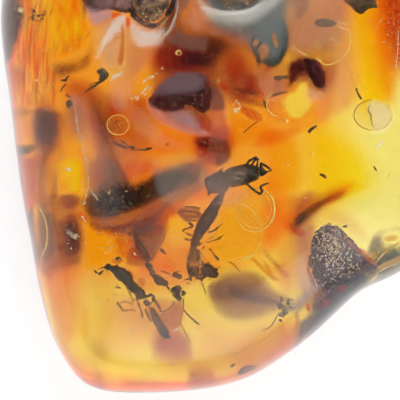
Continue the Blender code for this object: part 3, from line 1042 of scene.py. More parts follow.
def make_milk():
    """The white cloud under the crust, with its crease, and beside it a silvery arc that is a painted
    highlight.
    """
    flow("milk_veil", [
        ((96, 11, 169, 27, 141, 74, 95, 73), 12.6, 1.3), ((106, 22, 127, 16, 123, 67, 99, 61), 13, 1),
        ((115, 67, 142, 64, 134, 106, 116, 116, 103, 91), 12, 1.2),
    ], (1, 0.86, 0.66), 0.3, 1.4, film=0.62, film_colour=(0.98, 0.71, 0.54), through=0.35)
    flow("milky_flow", [
        ((127, 14, 146, 27, 166, 26, 161, 47, 133, 47), 13.9, 0.7),
        ((134, 24, 144, 30, 158, 30, 163, 34, 155, 42, 135, 35), 14, 0.4, *GENTLE),
        ((111, 17, 126, 12, 128, 28, 115, 39, 95, 63, 96, 49), 13.7, 0.5, *GENTLE),
        ((112, 74, 118, 72, 124, 69, 122, 76, 109, 83), 13.2, 0.25, *GENTLE),
        ((376, 146, 382, 140, 384, 142, 378, 149), 12.2, 0.1, *GENTLE),
        ((196, -8, 206, 2, 222, 13, 211, 18, 200, 12), 13.6, 0.5, *GENTLE),
        ((68, 228, 78, 236, 75, 241, 66, 234), 11.6, 0.3, *GENTLE),
    ], (0.98, 0.9, 0.8), 0.4, 0.5, film=0.96, film_colour=(1, 0.95, 0.94), through=0.12, contrast=0.16)
    flow("salmon_cloud", [
        ((124, 37, 147, 46, 158, 51, 143, 77, 125, 75), 13.2, 1),
        ((194, -1, 208, 10, 200, 34, 181, 22, 186, 16), 13.6, 0.5, *GENTLE),
    ], (1, 0.66, 0.42), 0.3, 1.2, film=0.7, film_colour=(0.92, 0.48, 0.28), through=0.4)
    flow("lilac_cloud", [
        ((83, 5, 100, 7, 113, 6, 113, 20, 92, 28), 13.2, 0.6, *GENTLE),
    ], (0.8, 0.6, 0.8), 0.3, 0.7, film=0.85, film_colour=(0.66, 0.45, 0.60), through=0.15)
    # A painted highlight: the silvery arc along the rim of the dark rind.
    flow("painted_silver_highlight", [
        ((176, -18, 181, -21, 180, 7, 174, 29, 160, 45, 155, 45, 163, 38, 174, 18), 13.9, 0.15, *GENTLE),
    ], (0.8, 0.75, 0.8), 0.2, 0.7, film=0.7, film_colour=(0.42, 0.34, 0.40), through=0.15)
    flow("crease", [
        ((120.6, 26, 124, 24, 125, 50, 123, 64, 119, 66, 117, 58, 120.6, 44), 13.9, 0.2, *GENTLE),
    ], (0.8, 0.35, 0.12), 0.2, 0.7, film=0.6, film_colour=(0.80, 0.33, 0.12))


def make_hazes():
    """Cloudy resin: peach, rosy and grey patches, and painted reflections of the studio lights: grey-blue,
    grey and bluish-white hazes close under the face.
    """
    flow("peach_flow", [
        ((296, -10, 350, -20, 352, 12, 330, 18, 304, 16), 9.8, 1),
        ((260, 78, 292, 82, 294, 92, 282, 90, 268, 98, 258, 92), 9, 0.5, BLOB_GAPS, 0.1),
        ((315, 214, 339, 206, 366, 222, 368, 246), 9, 1), ((276, 240, 312, 236, 310, 291, 279, 295), 8, 1),
        ((184, 302, 230, 316, 290, 316, 300, 340, 263, 371, 198, 360), 9, 1.8),
        ((232, 330, 300, 314, 300, 352, 262, 380, 228, 370), 8.6, 1.2),
        ((60, 334, 90, 350, 120, 374, 90, 378, 66, 360), 6.8, 0.8),
        ((42, 254, 81, 259, 85, 336, 57, 342), 8, 1.4),
        ((90, 292, 160, 300, 156, 350, 120, 366, 92, 350), 8.4, 1.8),
        ((50, 330, 58, 330, 88, 380, 80, 384, 60, 360), 6.8, 0.4),
        ((120, 286, 180, 300, 186, 340, 140, 350, 112, 320), 7.4, 1.6),
        ((196, 336, 300, 340, 262, 380, 180, 384, 150, 364), 7, 1.4),
        ((318, 62, 360, 50, 362, 100, 340, 118, 318, 112), 8, 1.2),
        ((14, 118, 31, 118, 32, 137, 16, 137), 8.6, 0.4),
        ((130, 110, 158, 100, 168, 120, 152, 136, 132, 132), 9.6, 0.9),
        ((299, 13, 332, 20, 309, 51, 292, 41), 11, 0.8),
        ((76, 146, 90, 150, 92, 180, 82, 192, 80, 168), 9, 0.5),
    ], (1, 0.80, 0.62), 0.35, 2, film=0.34, film_colour=(0.95, 0.62, 0.40), through=0.55)
    flow("blob_cloud", [
        ((302, 89, 314, 86, 329, 97, 310, 106), 12.4, 0.6, *GENTLE),
        ((294, 257, 307, 249, 311, 269, 312, 290, 295, 285), 12.8, 0.7, *GENTLE),
    ], (1, 0.85, 0.8), 0.4, 0.7, film=0.62, film_colour=(1, 0.74, 0.62), through=0.3)
    flow("flame_notches", [
        ((271, 35, 274.6, 32, 278, 38, 279, 46, 275, 48, 272, 43), 13, 0.14, *GENTLE),
        ((258, 45, 266, 42, 271, 50, 269, 58, 264, 61, 261, 66, 258, 56), 13, 0.3, *GENTLE),
        ((253, 39, 258, 38, 260, 43, 255, 48, 252, 45), 13, 0.16, *GENTLE),
        ((266, 68, 274, 69, 270, 72), 13, 0.1, *GENTLE),
    ], (1, 0.5, 0.3), 0.3, 0.6, film=0.85, film_colour=(0.95, 0.42, 0.20), through=0.3, grit=0.3)
    flow("rosy_flow", [
        ((15, 157, 34, 158, 38, 191, 30, 200, 20, 176), 8.2, 0.4),
        ((156, 336, 183, 331, 193, 358, 172, 368, 154, 356), 8.6, 0.8),
        ((150, 297, 186, 303, 180, 347, 155, 344), 7.8, 0.9),
        ((268, 76, 296, 82, 292, 92, 276, 98), 8.4, 0.5, BLOB_GAPS, 0.1),
        ((312, 56, 336, 60, 340, 86, 326, 96, 312, 90), 8.8, 0.8),
        ((304, 190, 318, 192, 310, 206, 300, 216, 292, 212), 8.8, 0.6),
        ((300, 226, 316, 222, 318, 240, 308, 262, 298, 250), 8.4, 0.6),
        ((8, 62, 20, 66, 18, 88, 12, 96), 7.4, 0.4), ((104, 90, 124, 96, 130, 110, 110, 116), 8.4, 0.8),
        ((90, 109, 113, 136, 100, 159, 88, 140), 9.4, 0.7),
        ((90, 162, 103, 164, 102, 186, 92, 188), 10.6, 0.4, *GENTLE),
        ((292, 312, 299, 314, 296, 340, 292, 352, 287, 350), 9.6, 0.2, *GENTLE),
        ((144, 204, 166, 196, 177, 201, 147, 220, 130, 220), 9.6, 0.6),
        ((206, 138, 226, 140, 230, 160, 212, 164), 9, 0.5), ((58, 196, 80, 196, 80, 210, 66, 212), 9.6, 0.4),
    ], (0.90, 0.52, 0.50), 0.45, 1.4, film=0.5, film_colour=(0.66, 0.26, 0.24), through=0.4, contrast=0.22)
    # A painted reflection: the broad grey-blue haze of the studio lights on the face around the top crust.
    flow("painted_haze_reflection", [
        ((196, -40, 302, -40, 297, 4, 287, 61, 264, 68, 238, 47, 214, 38, 202, 19), 12.8, 1.5),
        ((204, -10, 290, -20, 288, 30, 284, 54, 262, 58, 240, 40, 212, 28), 12.6, 1.6),
    ], (0.55, 0.62, 0.72), 0.25, 3, film=0.78, film_colour=(0.23, 0.285, 0.35), through=0.08)
    flow("warm_haze", [
        ((59, 102, 88, 96, 92, 146, 77, 141, 64, 147), 12, 0.9),
        ((66, 106, 82, 104, 88, 124, 84, 140, 72, 134), 12.4, 0.8),
        ((208, 268, 250, 264, 280, 284, 300, 300, 270, 320, 220, 314), 12, 1.4),
        ((96, 150, 116, 150, 126, 170, 116, 190, 96, 190), 12.2, 0.9),
    ], (0.8, 0.62, 0.62), 0.4, 2, film=0.36, film_colour=(0.42, 0.25, 0.23), through=0.15)
    # A painted reflection: the grey haze that a facet of the face throws over the dark band and the beetle's
    # rear.
    flow("painted_facet_reflection", [
        ((148, 171, 165, 162, 205, 157, 210, 190, 173, 206, 162, 212), 12.2, 0.7),
        ((206, 172, 244, 167, 242, 184, 209, 193), 14, 0.6),
    ], (0.8, 0.8, 0.84), 0.3, 2, film=0.34, film_colour=(0.32, 0.34, 0.37), through=0.1)
    flow("foggy_flow", [
        ((179, -20, 190, -20, 190, 6, 182, 14, 179, 24, 188, 33, 206, 36, 208, 50, 190, 52, 172, 46, 166, 39,
         177, 21), 13.2, 0.3),
        ((286, -10, 310, -14, 312, 12, 294, 24, 290, 10), 12.6, 0.6),
        ((96, 118, 108, 124, 118, 148, 110, 158, 96, 146), 12.2, 0.9),
        ((36, 206, 50, 206, 60, 226, 56, 256, 42, 262), 8.2, 0.5),
    ], (0.72, 0.66, 0.72), 0.3, 2, film=0.55, film_colour=(0.26, 0.17, 0.17), through=0.2)
    # A painted reflection: the bright bluish-white crescent of a studio light on the face below the top
    # crust.
    flow("painted_reflection_mist", [
        ((194, -7, 212, 6, 249, 7, 276, -13, 297, -10, 254, 28, 208, 24), 13.7, 1.5),
        ((200, -2, 214, 7, 243, 9, 266, -3, 280, -5, 250, 19, 213, 18), 13.8, 0.7),
        ((208, 4, 218, 9, 241, 9, 254, 5, 262, 0, 266, 2, 254, 12, 240, 16, 224, 16, 212, 12), 13.9, 0.3,
         *GENTLE),
    ], (1, 1, 1), 0.05, 2, film=1, film_colour=(0.97, 0.99, 1), through=0.05)


def make_dome():
    """The rotten lump under a dome of resin: grey above, dark red across it, rosy at its foot."""
    grit = crumb_material(
        "dome_rot", (0.045, 0.003, 0.018), (0.36, 0.03, 0.09), 0.4, (0.75, 0.40, 0.45), 0.62)
    bodies("dome_core", grit, [
        ((149, 99, 157, 91, 168, 89, 180, 88, 190, 87, 194, 78, 199, 74, 206, 76, 210, 86, 211, 98, 210, 108,
         203, 113, 196, 109, 188, 104, 182, 109, 174, 112, 164, 111, 154, 110, 149, 105), 9.6, 1.8, 1.2,
         0.12, ((0.9, 0.3), (0.25, 0.2))),
    ])
    flow("dome_shadow", [
        ((150, 92, 186, 68, 214, 86, 202, 130, 155, 115), 10.8, 0.6),
    ], (0.40, 0.12, 0.20), 0.3, 1.2, film=0.3, film_colour=(0.24, 0.10, 0.16), grit=GRIT)
    flow("dome_cap", [
        ((148, 96, 168, 73, 196, 69, 208, 79, 201, 94, 175, 97), 12.6, 0.7, *GENTLE),
        ((156, 88, 165, 78, 187, 70, 184, 79, 162, 91), 12.9, 0.7, *GENTLE),
    ], (0.5, 0.4, 0.55), 0.35, 1.2, film=0.85, film_colour=(0.25, 0.185, 0.27), through=0.05)
    flow("dome_foot", [
        ((144, 99, 148, 113, 159, 124, 191, 137, 214, 136, 204, 127, 190, 127, 177, 122, 153, 106, 149, 99),
         12.8, 0.45, *GENTLE),
        ((149, 103, 168, 112, 170, 123, 155, 120), 12.9, 0.6, *GENTLE),
    ], (0.9, 0.6, 0.6), 0.3, 0.8, film=0.9, film_colour=(0.98, 0.50, 0.44), through=0.25)
    flow("dome_lilac", [
        ((160, 113, 191, 107, 206, 133, 179, 132), 13, 0.8, *GENTLE),
    ], (0.8, 0.65, 0.8), 0.35, 0.8, film=0.8, film_colour=(0.50, 0.36, 0.50), through=0.15)
    flow("dome_side", [
        ((192, 108, 205, 112, 223, 92, 229, 120, 229, 139, 195, 137), 11.4, 0.5, *GENTLE),
        ((196, 113, 213, 116, 216, 129, 206, 136, 196, 130), 11.8, 0.6, *GENTLE),
    ], (0.78, 0.26, 0.26), 0.4, 0.9, film=0.38, film_colour=(0.66, 0.19, 0.18), through=0.5, grit=0.3)
    flow("dome_crown", [
        ((206, 74, 222, 89, 227, 111, 201, 112, 208, 96), 12, 0.5, *GENTLE),
    ], (0.38, 0.15, 0.16), 0.3, 0.8, film=0.5, film_colour=(0.22, 0.085, 0.105), grit=0.3)


def make_corner():
    """The slate and purple rot at the lower right edge, seen through clouds of fine bubbles."""
    flow("corner_slate", [
        ((314, 272, 333, 260, 378, 264, 364, 292, 317, 336, 302, 343, 299, 330, 306, 312, 318, 292), 9.6,
         0.5),
        ((322, 286, 349, 276, 360, 283, 343, 305, 307, 331), 8.6, 0.6),
        ((328, 267, 364, 265, 366, 284, 351, 292, 327, 281), 10.6, 0.5),
        ((294, 298, 304, 290, 314, 296, 302, 313, 282, 305), 9.8, 0.5),
        ((297, 318, 306, 316, 305, 334, 299, 346, 292, 350, 294, 334), 9.2, 0.25, *GENTLE),
        ((306, 331, 349, 291, 366, 272, 404, 256, 412, 290, 381, 306, 345, 334, 318, 359, 298, 360), 4.8,
         0.4),
        ((300, 346, 309, 327, 349, 291, 366, 276, 374, 300, 318, 354), 5.8, 0.3),
        ((367, 261, 402, 242, 404, 258, 386, 266, 368, 278), 8, 0.5),
        ((370, 240, 380, 234, 386, 246, 378, 256, 366, 258), 8, 0.5),
    ], (0.17, 0.13, 0.20), 0.4, 1.2, film=0.72, film_colour=(0.125, 0.115, 0.165), through=0.1, contrast=0.2,
       grit=GRIT, slot="debris")
    flow("corner_purple", [
        ((320, 279, 350, 280, 350, 302, 330, 319, 308, 307), 11.2, 0.7),
        ((341, 230, 362, 250, 376, 264, 366, 268, 350, 256, 342, 244), 12, 0.3, *GENTLE),
        ((308, 311, 329, 318, 304, 342, 303, 326), 11, 0.4),
    ], (0.5, 0.2, 0.34), 0.5, 0.9, film=0.6, film_colour=(0.25, 0.13, 0.21), through=0.2, contrast=0.16,
       grit=GRIT, slot="debris")
    flow("corner_glints", [
        ((306, 303, 310, 303, 311, 310, 308, 313, 305, 309), 12.4, 0.2, *GENTLE),
        ((340, 296, 345, 299, 345, 305, 341, 308, 337, 304), 12, 0.2, *GENTLE),
        ((334, 286, 342, 282, 352, 286, 346, 292, 336, 292), 12, 0.5, *GENTLE),
        ((319, 297, 328, 296, 332, 306, 324, 312), 12, 0.5, *GENTLE),
    ], (1, 0.2, 0.25), 0.3, 0.5, film=0.85, film_colour=(0.85, 0.10, 0.13), through=0.4, slot="debris")
    flow("corner_fire", [
        ((313, 324, 319, 322, 320, 327, 314, 330), 11, 0.15, *GENTLE),
        ((305, 316, 309, 315, 310, 330, 306, 338, 304, 330), 10.6, 0.2, *GENTLE),
        ((358, 248, 366, 250, 376, 262, 370, 263, 362, 257), 12, 0.16, *GENTLE),
    ], (1, 0.5, 0.3), 0.3, 0.5, film=0.7, film_colour=(1, 0.33, 0.12), through=0.5, slot="debris")
    flow("corner_mist", [
        ((284, 309, 309, 280, 327, 284, 299, 317), 12.8, 0.8),
        ((307, 250, 311, 268, 320, 286, 311, 296, 297, 286), 12.8, 0.6),
        ((306, 318, 330, 310, 352, 296, 343, 312, 307, 344), 9, 0.6),
    ], (0.9, 0.85, 0.9), 0.25, 1.8, film=0.5, film_colour=(0.60, 0.50, 0.62), through=0.1, slot="debris")
    flow("edge_gold", [
        ((383, 239, 391, 235, 399, 235, 396, 241, 387, 244), 9.6, 0.12, *GENTLE),
        ((371, 252, 376, 251, 377, 256, 373, 258), 9.8, 0.1, *GENTLE),
        ((368, 274, 380, 264, 400, 256, 400, 262, 384, 270, 374, 276), 9.2, 0.2, *GENTLE),
    ], (1, 0.8, 0.3), 0.2, 0.8, film=0.8, film_colour=(1, 0.62, 0.12), through=0.6, slot="debris")


# ---------------------------------------------------------------- bark and crumbs


def make_debris():
    maroon = crumb_material(
        "maroon_rot", (0.040, 0.007, 0.018), (0.28, 0.045, 0.085), 0.7, (0.6, 0.30, 0.34), 0.64)
    rough, fine = ((1.2, 0.35), (0.3, 0.16)), ((0.7, 0.2), (0.22, 0.14))
    bodies("dark_arch", maroon, [
        ((304, 59, 312, 58.6, 319, 63, 323, 72, 324.6, 84, 320, 88, 315, 86, 311, 79, 307, 72), 10.4, 1, 0.7,
         0.1, fine),
    ])
    flow("arch_halo", [
        ((289, 61, 311, 55, 327, 71, 327, 91, 317, 90, 310, 80, 303, 78, 292, 87, 286, 83), 11, 0.35,
         *GENTLE),
        ((289, 62, 305, 59, 306, 72, 299, 76, 294, 84, 288, 83), 11.4, 0.4, *GENTLE),
    ], (0.26, 0.03, 0.08), 0.3, 0.8, film=0.36, film_colour=(0.13, 0.015, 0.04), contrast=0.16, grit=GRIT,
       slot="debris")
    bark = crumb_material(
        "bark_crust", (0.050, 0.018, 0.032), (0.50, 0.31, 0.20), 0.9, (0.9, 0.78, 0.6), 0.62, 0.6, 0.2)
    bodies("top_crust", bark, [
        ((130, -22, 160, -26, 172, -10, 168, 6, 161, 17, 150, 22, 141, 17, 134, 10, 126, -8), 12.2, 2.6, 1.8,
         0.13, rough),
        ((200, -26, 240, -32, 270, -22, 263, -2, 252, 5, 240, 7.6, 228, 7, 215, 3, 206, -4), 12.4, 2.6, 1.6,
         0.13, rough),
    ])
    husk = crumb_material(
        "husk_rot", (0.075, 0.028, 0.048), (0.48, 0.27, 0.34), 0.9, (0.75, 0.55, 0.58), 0.60, 0.5, 0.2)
    bodies("husk_crust", husk, [
        ((84, -34, 120, -34, 136, -10, 136, 8, 128, 13, 118, 11, 108, 10, 94, 12, 86, 7, 80, -8), 11.8, 2,
         1.6, 0.13, rough),
    ])
    # The rind's pale lavender specks are painted highlights; its black and purple are its own colour.
    jet = crumb_material(
        "jet_rind_and_painted_glints", (0.010, 0.006, 0.012), (0.09, 0.05, 0.085), 0.4, (0.8, 0.75, 0.85), 0.66, 0.25, 0.2)
    bodies("dark_rind", jet, [
        ((128, 8, 138, 15, 146, 21, 154, 23, 162, 19, 168, 8, 176, -12, 178, -4, 172, 12, 165, 20, 158, 27,
         150, 29, 140, 25, 132, 17), 12.4, 1.2, 0.7, 0.12, fine),
    ])
    umber = crumb_material(
        "umber_rot", (0.020, 0.010, 0.006), (0.13, 0.07, 0.03), 0.5, (0.5, 0.3, 0.12), 0.66)
    bodies("far_crust", umber, [
        ((345, -20, 366, -20, 377, 4, 376, 8, 368, 9, 362, 14, 354, 11, 347, 4, 341, -6), 11, 1.2, 0.8, 0.12,
         fine),
    ])
    crumb = crumb_material(
        "crumb_grit", (0.020, 0.004, 0.012), (0.20, 0.11, 0.16), 1.5, (0.92, 0.78, 0.72), 0.57, 0.5, 0.5)
    bodies("crumb_lump", crumb, [
        ((311, 262, 311, 247, 316, 235, 323, 227, 331, 224.6, 339, 229, 347, 240, 357, 250, 362, 262, 358,
         274, 342, 278, 330, 284, 320, 286, 314, 276), 11.6, 2.8, 2.2, 0.12, ((1, 0.6), (0.34, 0.7))),
    ])
    bodies("slope_rot", crumb_material(
        "slope_rot", (0.030, 0.008, 0.020), (0.22, 0.075, 0.12), 0.4, (0.8, 0.5, 0.4), 0.64), [
        ((339, 227, 346, 233, 357, 245, 368, 257, 378, 265, 368, 272, 357, 270, 352, 256, 345, 242), 11, 1.2,
         0.8, 0.12, fine),
    ])
    rust = crumb_material(
        "rust_rim", (0.35, 0.04, 0.015), (0.80, 0.18, 0.05), 0.8, (0.9, 0.4, 0.2), 0.66, 0.4, 0.05)
    strands("rust_rims", rust, [
        [(207, -4, 2), (214, 3, 2.6), (222, 7.5, 2.6), (232, 9, 2), (244, 8, 1.4), (252, 6, 1)],
        [(308.6, 258, 1.2), (307.6, 266, 2.4), (309.6, 274, 3.6), (312.4, 281, 3.8), (315.6, 287.6, 2)],
        [(343, 234, 1), (351, 245, 1.6), (360, 253, 1.6), (368, 260, 2), (375, 265, 1.6)],
    ], 12.4)


# ---------------------------------------------------------------- insects


ROUGH = ((0.16, 0.22), (0.5, 0.12))  # the relief of a rotten, hairy body


def ragged(lines, number=7, reach=2.4, stout=1.15):
    """The lines made that much stouter, with short bristles at random along the thick ones."""
    chance = random.Random(2)
    lines = [[(x, y, width * stout) for x, y, width in line] for line in lines]
    bristles = []
    for line in lines:
        for start, end in zip(line, line[1:]):
            for _ in range(number if start[2] > 3.0 else 0):
                share = chance.random()
                x, y, width = (a + (b - a) * share for a, b in zip(start, end))
                angle = chance.uniform(0, 2.0 * math.pi)
                length = 0.45 * width + chance.uniform(0.1, 1) * reach
                tip = (x + length * math.cos(angle), y + length * math.sin(angle), 0.5)
                bristles.append([(x, y, 0.3 * width), tip])
    return lines + bristles


def make_beetle():
    """The black pinhole-borer beetle, the largest insect, close under the polished face."""
    black = cuticle_material("black_cuticle", (0.006, 0.006, 0.007), (0.028, 0.03, 0.03), 0.4, 0.3)
    bodies("beetle_body", black, [
        ((204.7, 179, 208.8, 176.5, 214.4, 173, 219.5, 170.4, 222.5, 170.4, 225.2, 174, 227.5, 176, 228, 182,
         229.5, 186.5, 225.6, 192.4, 217.4, 193.4, 213.9, 193.9, 211.8, 193, 209.3, 195.2, 206.6, 190, 205,
         184.5), 12.6, 1.5, 0.9, 0.07, ((0.3, 0.06),)),
        ((225, 171, 227.7, 169, 230.7, 167.3, 238.9, 165.3, 246, 163.8, 252, 164.6, 257.8, 166.3, 259, 171,
         258.8, 178.6, 250, 183, 246, 184.7, 238.9, 186.2, 232.2, 187.6, 229, 184, 226.5, 178), 12.7, 1.6,
         0.9, 0.07, ((0.3, 0.05),)),
        ((259.4, 165, 261.2, 164.4, 264.5, 169, 267.4, 172.6, 264, 175.6, 260.8, 176.4, 259.4, 171), 12.6,
         0.8, 0.4, 0.06, ((0.2, 0.04),)),
    ])
    strands("beetle_legs", black, [
        [(246.5, 165, 2.6), (249, 160.9, 2.6), (254.7, 157.9, 2.4), (257, 157.2, 2.8)],
        [(251, 166, 2.2), (254.2, 161.2, 2), (257, 157.6, 2.6)],
        [(256.4, 168, 1.8), (257.4, 163, 1.4), (257.6, 158, 2)],
        [(259.8, 163, 2.2), (262.9, 164.4, 2.6), (267.4, 166.9, 2.4), (271.3, 170.2, 1.8)],
        [(271.3, 170.2, 1.4), (268.5, 171.8, 1.2), (262.3, 170.4, 1.2)],
        [(245.8, 182.8, 2), (251.1, 187.8, 2.2), (256.2, 191.8, 2.4), (260.3, 194.2, 2.6)],
        [(260.3, 194.4, 2.4), (262.2, 190.8, 2.4), (260.2, 186.7, 2.4)],
        [(260.2, 186.9, 2.4), (263.9, 184.4, 2), (268.6, 183.3, 1.4)], [(208, 193.6, 2), (209.4, 195.6, 1)],
        [(219, 171, 2), (223, 168.2, 1)],
    ], height=12.8, smooth=0)


def make_long_insects():
    """The narrow beetle under the large one, and the two pairs strung out below it."""
    brown = cuticle_material("brown_cuticle", (0.045, 0.016, 0.012), (0.15, 0.055, 0.035), 0.4, 0.4)
    strands("narrow_insect", brown, ragged([
        [(223, 188, 4), (221, 195, 5.5), (217, 203, 9), (213.3, 209, 10), (209, 216, 12), (204, 224, 11),
         (199, 232, 9), (195.4, 240, 7.5), (193.3, 247, 5), (192, 250, 3.5)],
        [(188.8, 222.7, 1.2), (192.8, 225.8, 1.7), (191.2, 227, 1.3), (183.4, 230.3, 1), (186.5, 233.4, 1.2),
         (192.5, 235.6, 1.2)],
        [(186.3, 237.8, 0.8), (187, 239.6, 1.3), (190.4, 240.2, 1)],
        [(208.8, 233, 0.9), (211.5, 231.5, 1.2), (216, 229.3, 1.4), (222.7, 223.6, 0.7)],
        [(205.7, 241.7, 0.6), (211, 241.4, 0.7), (217.3, 239.2, 0.9), (219.8, 237.8, 1.2), (223.6, 234.7,
         0.8)],
        [(197.7, 246.3, 1.4), (202.6, 242.8, 1.2)], [(202.4, 248.8, 1.6), (204.4, 246.2, 1.1)],
        [(209.7, 248.6, 1.3), (212, 251.7, 1.1), (215, 256, 1.5), (218.4, 259.4, 1.6)],
    ]), height=11.6, smooth=9, resolution=4, relief=ROUGH)
    legs = cuticle_material("thin_cuticle", (0.05, 0.02, 0.012), (0.16, 0.06, 0.03), 0.3, 0.5)
    strands("spots_on_legs", legs, [
        [(216, 228.4, 2.4), (217, 229.2, 2.4)], [(218.8, 237.4, 2.2), (220.2, 238.2, 2.2)],
        [(209.6, 238.2, 1.8), (210.8, 238.8, 1.8)], [(212, 236.8, 2), (213.2, 237.8, 1.4)],
        [(217.6, 258.8, 2.4), (218.8, 259.8, 2.2)], [(221.4, 246.4, 1.6), (222.4, 247, 1.4)],
    ], height=11.6, smooth=0)
    # The tuft of fibres below the narrow insect, spread like a worn brush.
    chance = random.Random(7)
    fibres = []
    for _ in range(34):
        start = chance.uniform(191, 199)
        swing = (start - 195) * chance.uniform(0.6, 1.6) + chance.uniform(-2, 2)
        fibres.append([(start, 248 + chance.uniform(0, 3), 0.9),
                       (start + swing * 0.5, 256 + chance.uniform(-2, 2), 0.8),
                       (start + swing, 263 + chance.uniform(-4, 6), 0.5)])
    for _ in range(26):
        x, y = chance.uniform(188, 216), chance.uniform(264, 276)
        fibres.append([(x, y, 1.6), (x + chance.uniform(-4, 4), y + chance.uniform(-4, 4), 2.4),
                       (x + chance.uniform(-7, 7), y + chance.uniform(-2, 6), 1)])
    strands("fibre_tuft", legs, fibres, 11.2, 2, 1)
    dark = cuticle_material("dark_cuticle", (0.016, 0.010, 0.010), (0.07, 0.04, 0.035), 0.35, 0.45)
    bodies("tuft_core", dark, [
        ((200, 268, 206, 264, 214, 267, 219, 273, 216, 278, 208, 277, 202, 274), 11, 0.8, 0.4, 0.08, ((0.25,
         0.25),)),
        ((188, 268, 192, 266, 199, 268, 198, 275, 190, 276), 11, 0.6, 0.4, 0.08, ((0.25, 0.2),)),
    ])
    strands("dark_bars", dark, [
        [(188, 263, 2.6), (188.6, 270, 3), (190.4, 277, 2.4), (191, 281, 1.6)],
        [(187.6, 283, 2), (189, 283.6, 2)], [(200.4, 277, 2.2), (202, 281.5, 2.4)],
        [(202, 283, 0.9), (204.6, 290, 0.9), (206, 295, 0.5)],
        [(172.9, 273.4, 4.4), (176, 275, 5), (181.6, 277.6, 4)],
        [(160.6, 271, 1), (165, 272.2, 1.3), (170.4, 274.4, 1)],
        [(160, 249.2, 2.4), (163, 251.2, 2.8), (165.6, 254, 1.6)], [(176, 271.5, 1), (181, 271, 0.8)],
        [(183, 308.8, 1), (187, 314, 1.3), (191.2, 318, 1.4), (195, 321.4, 1.6), (199, 323.8, 1.6)],
        [(182, 325, 0.6), (186, 334, 0.8), (190, 342, 0.6)],
    ], height=11)
    strands("chain_one", dark, ragged([
        [(104.3, 267.6, 2), (107, 266.8, 4), (110.4, 268, 5.4), (116.5, 271, 9), (122.7, 275, 11), (126.7,
         278.8, 9.4), (130.8, 283.9, 8), (136, 289, 8), (141, 295, 9), (143.8, 297.5, 5)],
        [(145.4, 300.6, 3), (147, 303.4, 5.6), (146.4, 306, 3)],
        [(145.3, 308.5, 1.2), (147.6, 315, 1.4), (150.4, 321, 2.2)],
        [(151.4, 307.8, 2), (153.2, 311, 4), (154.5, 315, 5.4), (156, 319, 7), (159.6, 325, 6), (162.7, 330,
         8.4), (165.4, 334.6, 7.6), (166.6, 337, 3)],
        [(94.6, 270.6, 1.6), (97.6, 272.8, 2.2), (100.6, 272.6, 2), (104, 270, 1.6)],
        [(98, 269.4, 1), (102.6, 267.6, 1.4), (106, 267, 1)],
        [(147.3, 297.5, 1.6), (149.4, 295.2, 1.6), (152.4, 295.6, 1.6), (154.4, 298, 1.2), (152.6, 300.6,
         1.2)],
        [(152, 298.5, 1.3), (156.5, 303.7, 1.4), (159.6, 308.8, 1.2), (160.4, 312, 0.8)],
        [(124, 283, 1.6), (128.6, 288, 1.2), (131, 293, 0.8)],
        [(136, 294, 1.6), (138, 303, 1.2), (141, 311, 1.2), (142.6, 318.6, 0.9)],
    ]), height=11.2, smooth=9, resolution=4, relief=ROUGH)
    strands("faint_legs", legs, [
        [(115, 287.4, 1.4), (118, 287.2, 1.8), (120.6, 288.4, 1.4)],
        [(126, 287, 0.8), (130, 294, 1), (133, 302, 0.8)],
        [(118, 302, 1), (120.4, 307.8, 1.2), (124, 310.8, 1.2), (130, 309.6, 1), (136, 310.6, 0.9)],
        [(120, 303, 0.8), (126, 301.6, 0.9), (131.4, 303.8, 0.8)],
        [(131, 307, 0.7), (133, 302, 0.8), (135.6, 298, 0.8)],
        [(150, 305, 1), (154, 300, 1), (157, 301.6, 0.9), (161, 308.6, 0.9)],
        [(228.6, 261.6, 0.9), (234.6, 265.2, 0.9), (240.2, 271.8, 0.8)],
        [(262, 330, 0.7), (270, 326.6, 0.9), (278, 316, 1), (281, 311.6, 0.8)],
        [(244, 133, 1), (248, 128.6, 1), (258, 121, 0.8)], [(96, 110, 0.9), (93.6, 107, 0.9)],
        [(101.6, 101, 0.9), (98, 106.6, 0.9)],
    ], height=10.8)
    strands("chain_two", dark, ragged([
        [(146.6, 262.6, 4), (149.6, 267, 5), (151.6, 271, 3), (153.6, 274.6, 4), (156.4, 277.4, 5.4), (159.4,
         280.6, 7), (162, 283, 4.4), (164.8, 282.2, 4), (167.2, 286, 1.8), (169, 290, 1.4)],
        [(172, 291, 5), (176, 289.6, 6), (181, 290, 4.4)], [(184, 292, 4.6), (182.6, 295.6, 2)],
        [(173.4, 294.6, 3), (178, 296, 4.4), (178.8, 300, 3)], [(176, 286.6, 2), (180.6, 286.8, 2.4)],
    ]), height=11.3, smooth=9, resolution=4, relief=ROUGH)


